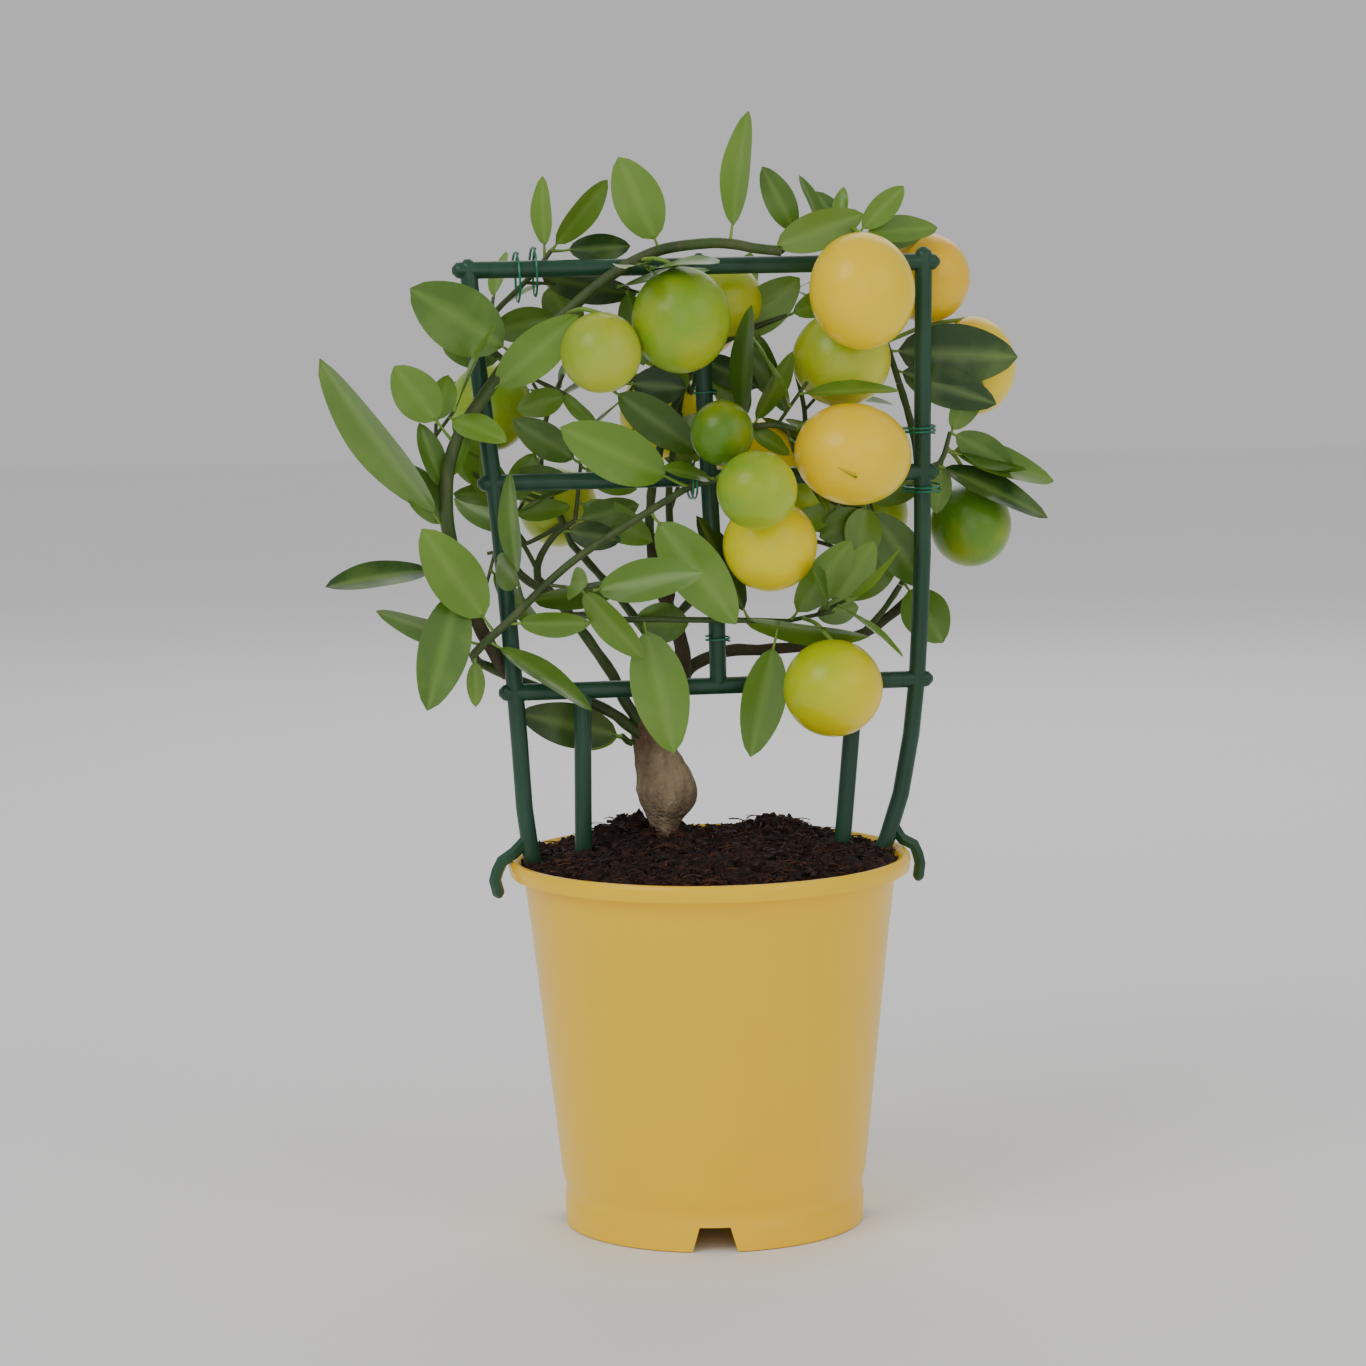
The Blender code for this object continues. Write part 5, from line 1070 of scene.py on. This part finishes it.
FINE_SHOOT_STEP, FINE_SHOOT_SIDES = 3.0, 12
FINE_TWIG_RADIUS, FINE_TWIG_SIDES = 0.9, 8
LEAF_STALK_RADII = (1.0, 0.75, 0.55)
LEAF_STALK_OVERLAP, LEAF_STALK_SAG = 1.5, 0.3
FRUIT_STALK_STEP, FRUIT_STALK_SIDES = 2.0, 10
FRUIT_STALK_END, FRUIT_STALK_ARCH = 0.96, 2.5    # its end is this share of the fruit's half height up


def blade(point, direction, facing, row, radius):
    """A blade for s from 0 at its root to 1 at its tip and t from -1 to 1 across. Its half width
    is width / 2 * sin(pi s^0.92)^0.64. It rises by |t|^1.4 towards its edges, which wave by
    sin(9 s + 2.5 t), and bends back by (s - 0.45)^2. Points, faces and the distance |t|."""
    stalk, length, width = row
    facing = unit(facing - direction * np.dot(facing, direction))
    beside = np.cross(direction, facing)
    start = point + direction * (stalk + radius)
    s = np.linspace(0, 1, BLADE_STATIONS + 1)[:, None]
    t = np.linspace(-1, 1, BLADE_ACROSS + 1)[None, :]
    half = width / 2 * np.sin(math.pi * s ** 0.92) ** 0.64 + 0.15
    rise = (np.abs(t) ** 1.4 * half * 0.20 + 0.35 * np.sin(9 * s + 2.5 * t) * np.abs(t)
            - length * 0.055 * (s - 0.45) ** 2)
    points = (start + direction * (s * length)[..., None] + beside * (t * half)[..., None]
              + facing * rise[..., None])
    first = (np.arange(BLADE_STATIONS)[:, None] * (BLADE_ACROSS + 1) + np.arange(BLADE_ACROSS)).ravel()
    faces = np.stack((first, first + 1, first + BLADE_ACROSS + 2, first + BLADE_ACROSS + 1), axis=1)
    return points.reshape(-1, 3), faces.tolist(), np.tile(np.abs(t).ravel(), BLADE_STATIONS + 1)


def leaf_tints(name, number, share):
    """A leaf's tone, paler towards its midrib by exp(-(|t| / midrib width)^2)."""
    dark = number in DARK_LEAVES.get(name, ())
    tone = np.array(DARK_GREEN if dark else LEAF_TONES[(number * 7 + len(name)) % len(LEAF_TONES)])
    vein = np.exp(-(share / MIDRIB_WIDTH) ** 2)[:, None] * MIDRIB_SHARE
    return tone * (1 - vein) + np.array(MIDRIB) * vein


leaf_green = finish("leaf_look", "tint", ((38.0, (0.24, 0.38, 0.07), 0.25, EVEN),), 0.36,
                    (520.0, 0.12, 0.0006), 0.12)
fruit_rind = finish("fruit_look", "tint", ((30.0, (1.0, 0.78, 0.0), 0.15, EVEN),), 0.3,
                    (650.0, 0.18, 0.0008), 0.1)
stalk_green = finish("petiole_look", (0.20, 0.34, 0.045),
                     ((80.0, (0.10, 0.2, 0.03), 0.6, (1, 1, 0.5)),), 0.45)
fruit_number = 0
for name, spec in MASSES.items():
    stems = []
    for way, (_, foot, tip, _) in zip(shoot_ways(spec), spec["shoots"]):
        way = smooth_way(way, FINE_SHOOT_STEP)
        stems.append(loft(way, np.linspace(foot, tip, len(way)), FINE_SHOOT_SIDES))
    stems += [loft(twig, FINE_TWIG_RADIUS, FINE_TWIG_SIDES) for twig in twigs[name]]
    piece(name + "_shoots", *joined(stems), shoot_green, "foliage", [name])
    blades, tints, stalks = [], [], []
    for number, (point, direction, facing, row, radius) in enumerate(leaves[name]):
        points, faces, share = blade(point, direction, facing, row, radius)
        blades.append((points, faces))
        tints.append(leaf_tints(name, number, share))
        end = point + direction * (row[0] + radius + LEAF_STALK_OVERLAP)
        stalk_way = np.array([point, (point + end) / 2 - (0, 0, LEAF_STALK_SAG), end])
        stalks.append(loft(stalk_way, np.array(LEAF_STALK_RADII), FINE_TWIG_SIDES))
    piece(name + "_blades", *joined(blades), leaf_green, "foliage", tints=np.vstack(tints))
    for centre, half_width, half_height, tilt, shoot, place in spec["fruits"]:
        root, _ = along(shoot_ways(spec)[shoot], place)
        top = np.array(centre) + (0.0, 0.0, half_height * FRUIT_STALK_END)
        middle = (root + top) / 2 + (0.0, 0.0, FRUIT_STALK_ARCH)
        hanger = smooth_way((root, middle, top), FRUIT_STALK_STEP)
        stalks.append(loft(hanger, STALK_RADIUS, FRUIT_STALK_SIDES))
        points, faces = ellipsoid(centre, half_width, half_height, tilt, FRUIT_SEGMENTS, FRUIT_RINGS)
        # The fruit's tint: painted shade on one side and painted light on the other, along the same
        # direction for every fruit, partly also ripening colour
        shaded, lit_and_ripening = np.array(FRUIT_TONES[fruit_number % len(FRUIT_TONES)])
        toward = (points - centre) @ unit(np.array(LIT_AND_RIPENING_SIDE)) / (1.5 * half_width)
        share = np.clip(0.5 + toward, 0, 1)[:, None]
        piece(f"fruit_{fruit_number:02d}", points, faces, fruit_rind, "foliage",
              tints=shaded * (1 - share) + lit_and_ripening * share)
        fruit_number += 1
    piece(name + "_stalks", *joined(stalks), stalk_green, "foliage")


# The studio: a pale matt floor, a large soft light above on the left, weaker ones on the right,
# in front and behind, and a pale sky all round.
FLOOR_HALF, FLOOR_DROP = 6.0, 0.0005
# Place, size and watts
LAMPS = {"key": ((-1.6, -1.8, 2.2), 1.6, 26.0), "fill": ((1.9, -1.6, 1.4), 1.8, 9.0),
         "front": ((0.0, -3.0, 0.9), 1.6, 8.0), "back": ((0.3, 2.0, 1.8), 1.8, 14.0)}
LAMPS_AIM = (0.0, 0.0, 0.3)
SKY_STRENGTH = 0.55
floor_mesh = bpy.data.meshes.new("floor")
corners = [(x * FLOOR_HALF, y * FLOOR_HALF, -FLOOR_DROP) for x, y in ((-1, -1), (1, -1), (1, 1), (-1, 1))]
floor_mesh.from_pydata(corners, [], [(0, 1, 2, 3)])
floor_pale = finish("floor_look", (0.95, 0.95, 0.95), ((2.0, (0.93, 0.93, 0.93), 0.5, EVEN),), 0.9)
floor_mesh.materials.append(floor_pale)
floor = bpy.data.objects.new("floor", floor_mesh)
bpy.context.scene.collection.objects.link(floor)
for name, (place, size, watts) in LAMPS.items():
    lamp = bpy.data.lights.new(name, "AREA")
    lamp.size = size
    lamp.energy = watts
    light = bpy.data.objects.new(name, lamp)
    light.location = place
    light.rotation_euler = (Vector(LAMPS_AIM) - Vector(place)).to_track_quat("-Z", "Y").to_euler()
    bpy.context.scene.collection.objects.link(light)
world = bpy.data.worlds.new("studio")
world.use_nodes = True
world.node_tree.nodes["Background"].inputs["Color"].default_value = (1.0, 1.0, 1.0, 1.0)
world.node_tree.nodes["Background"].inputs["Strength"].default_value = SKY_STRENGTH
bpy.context.scene.world = world
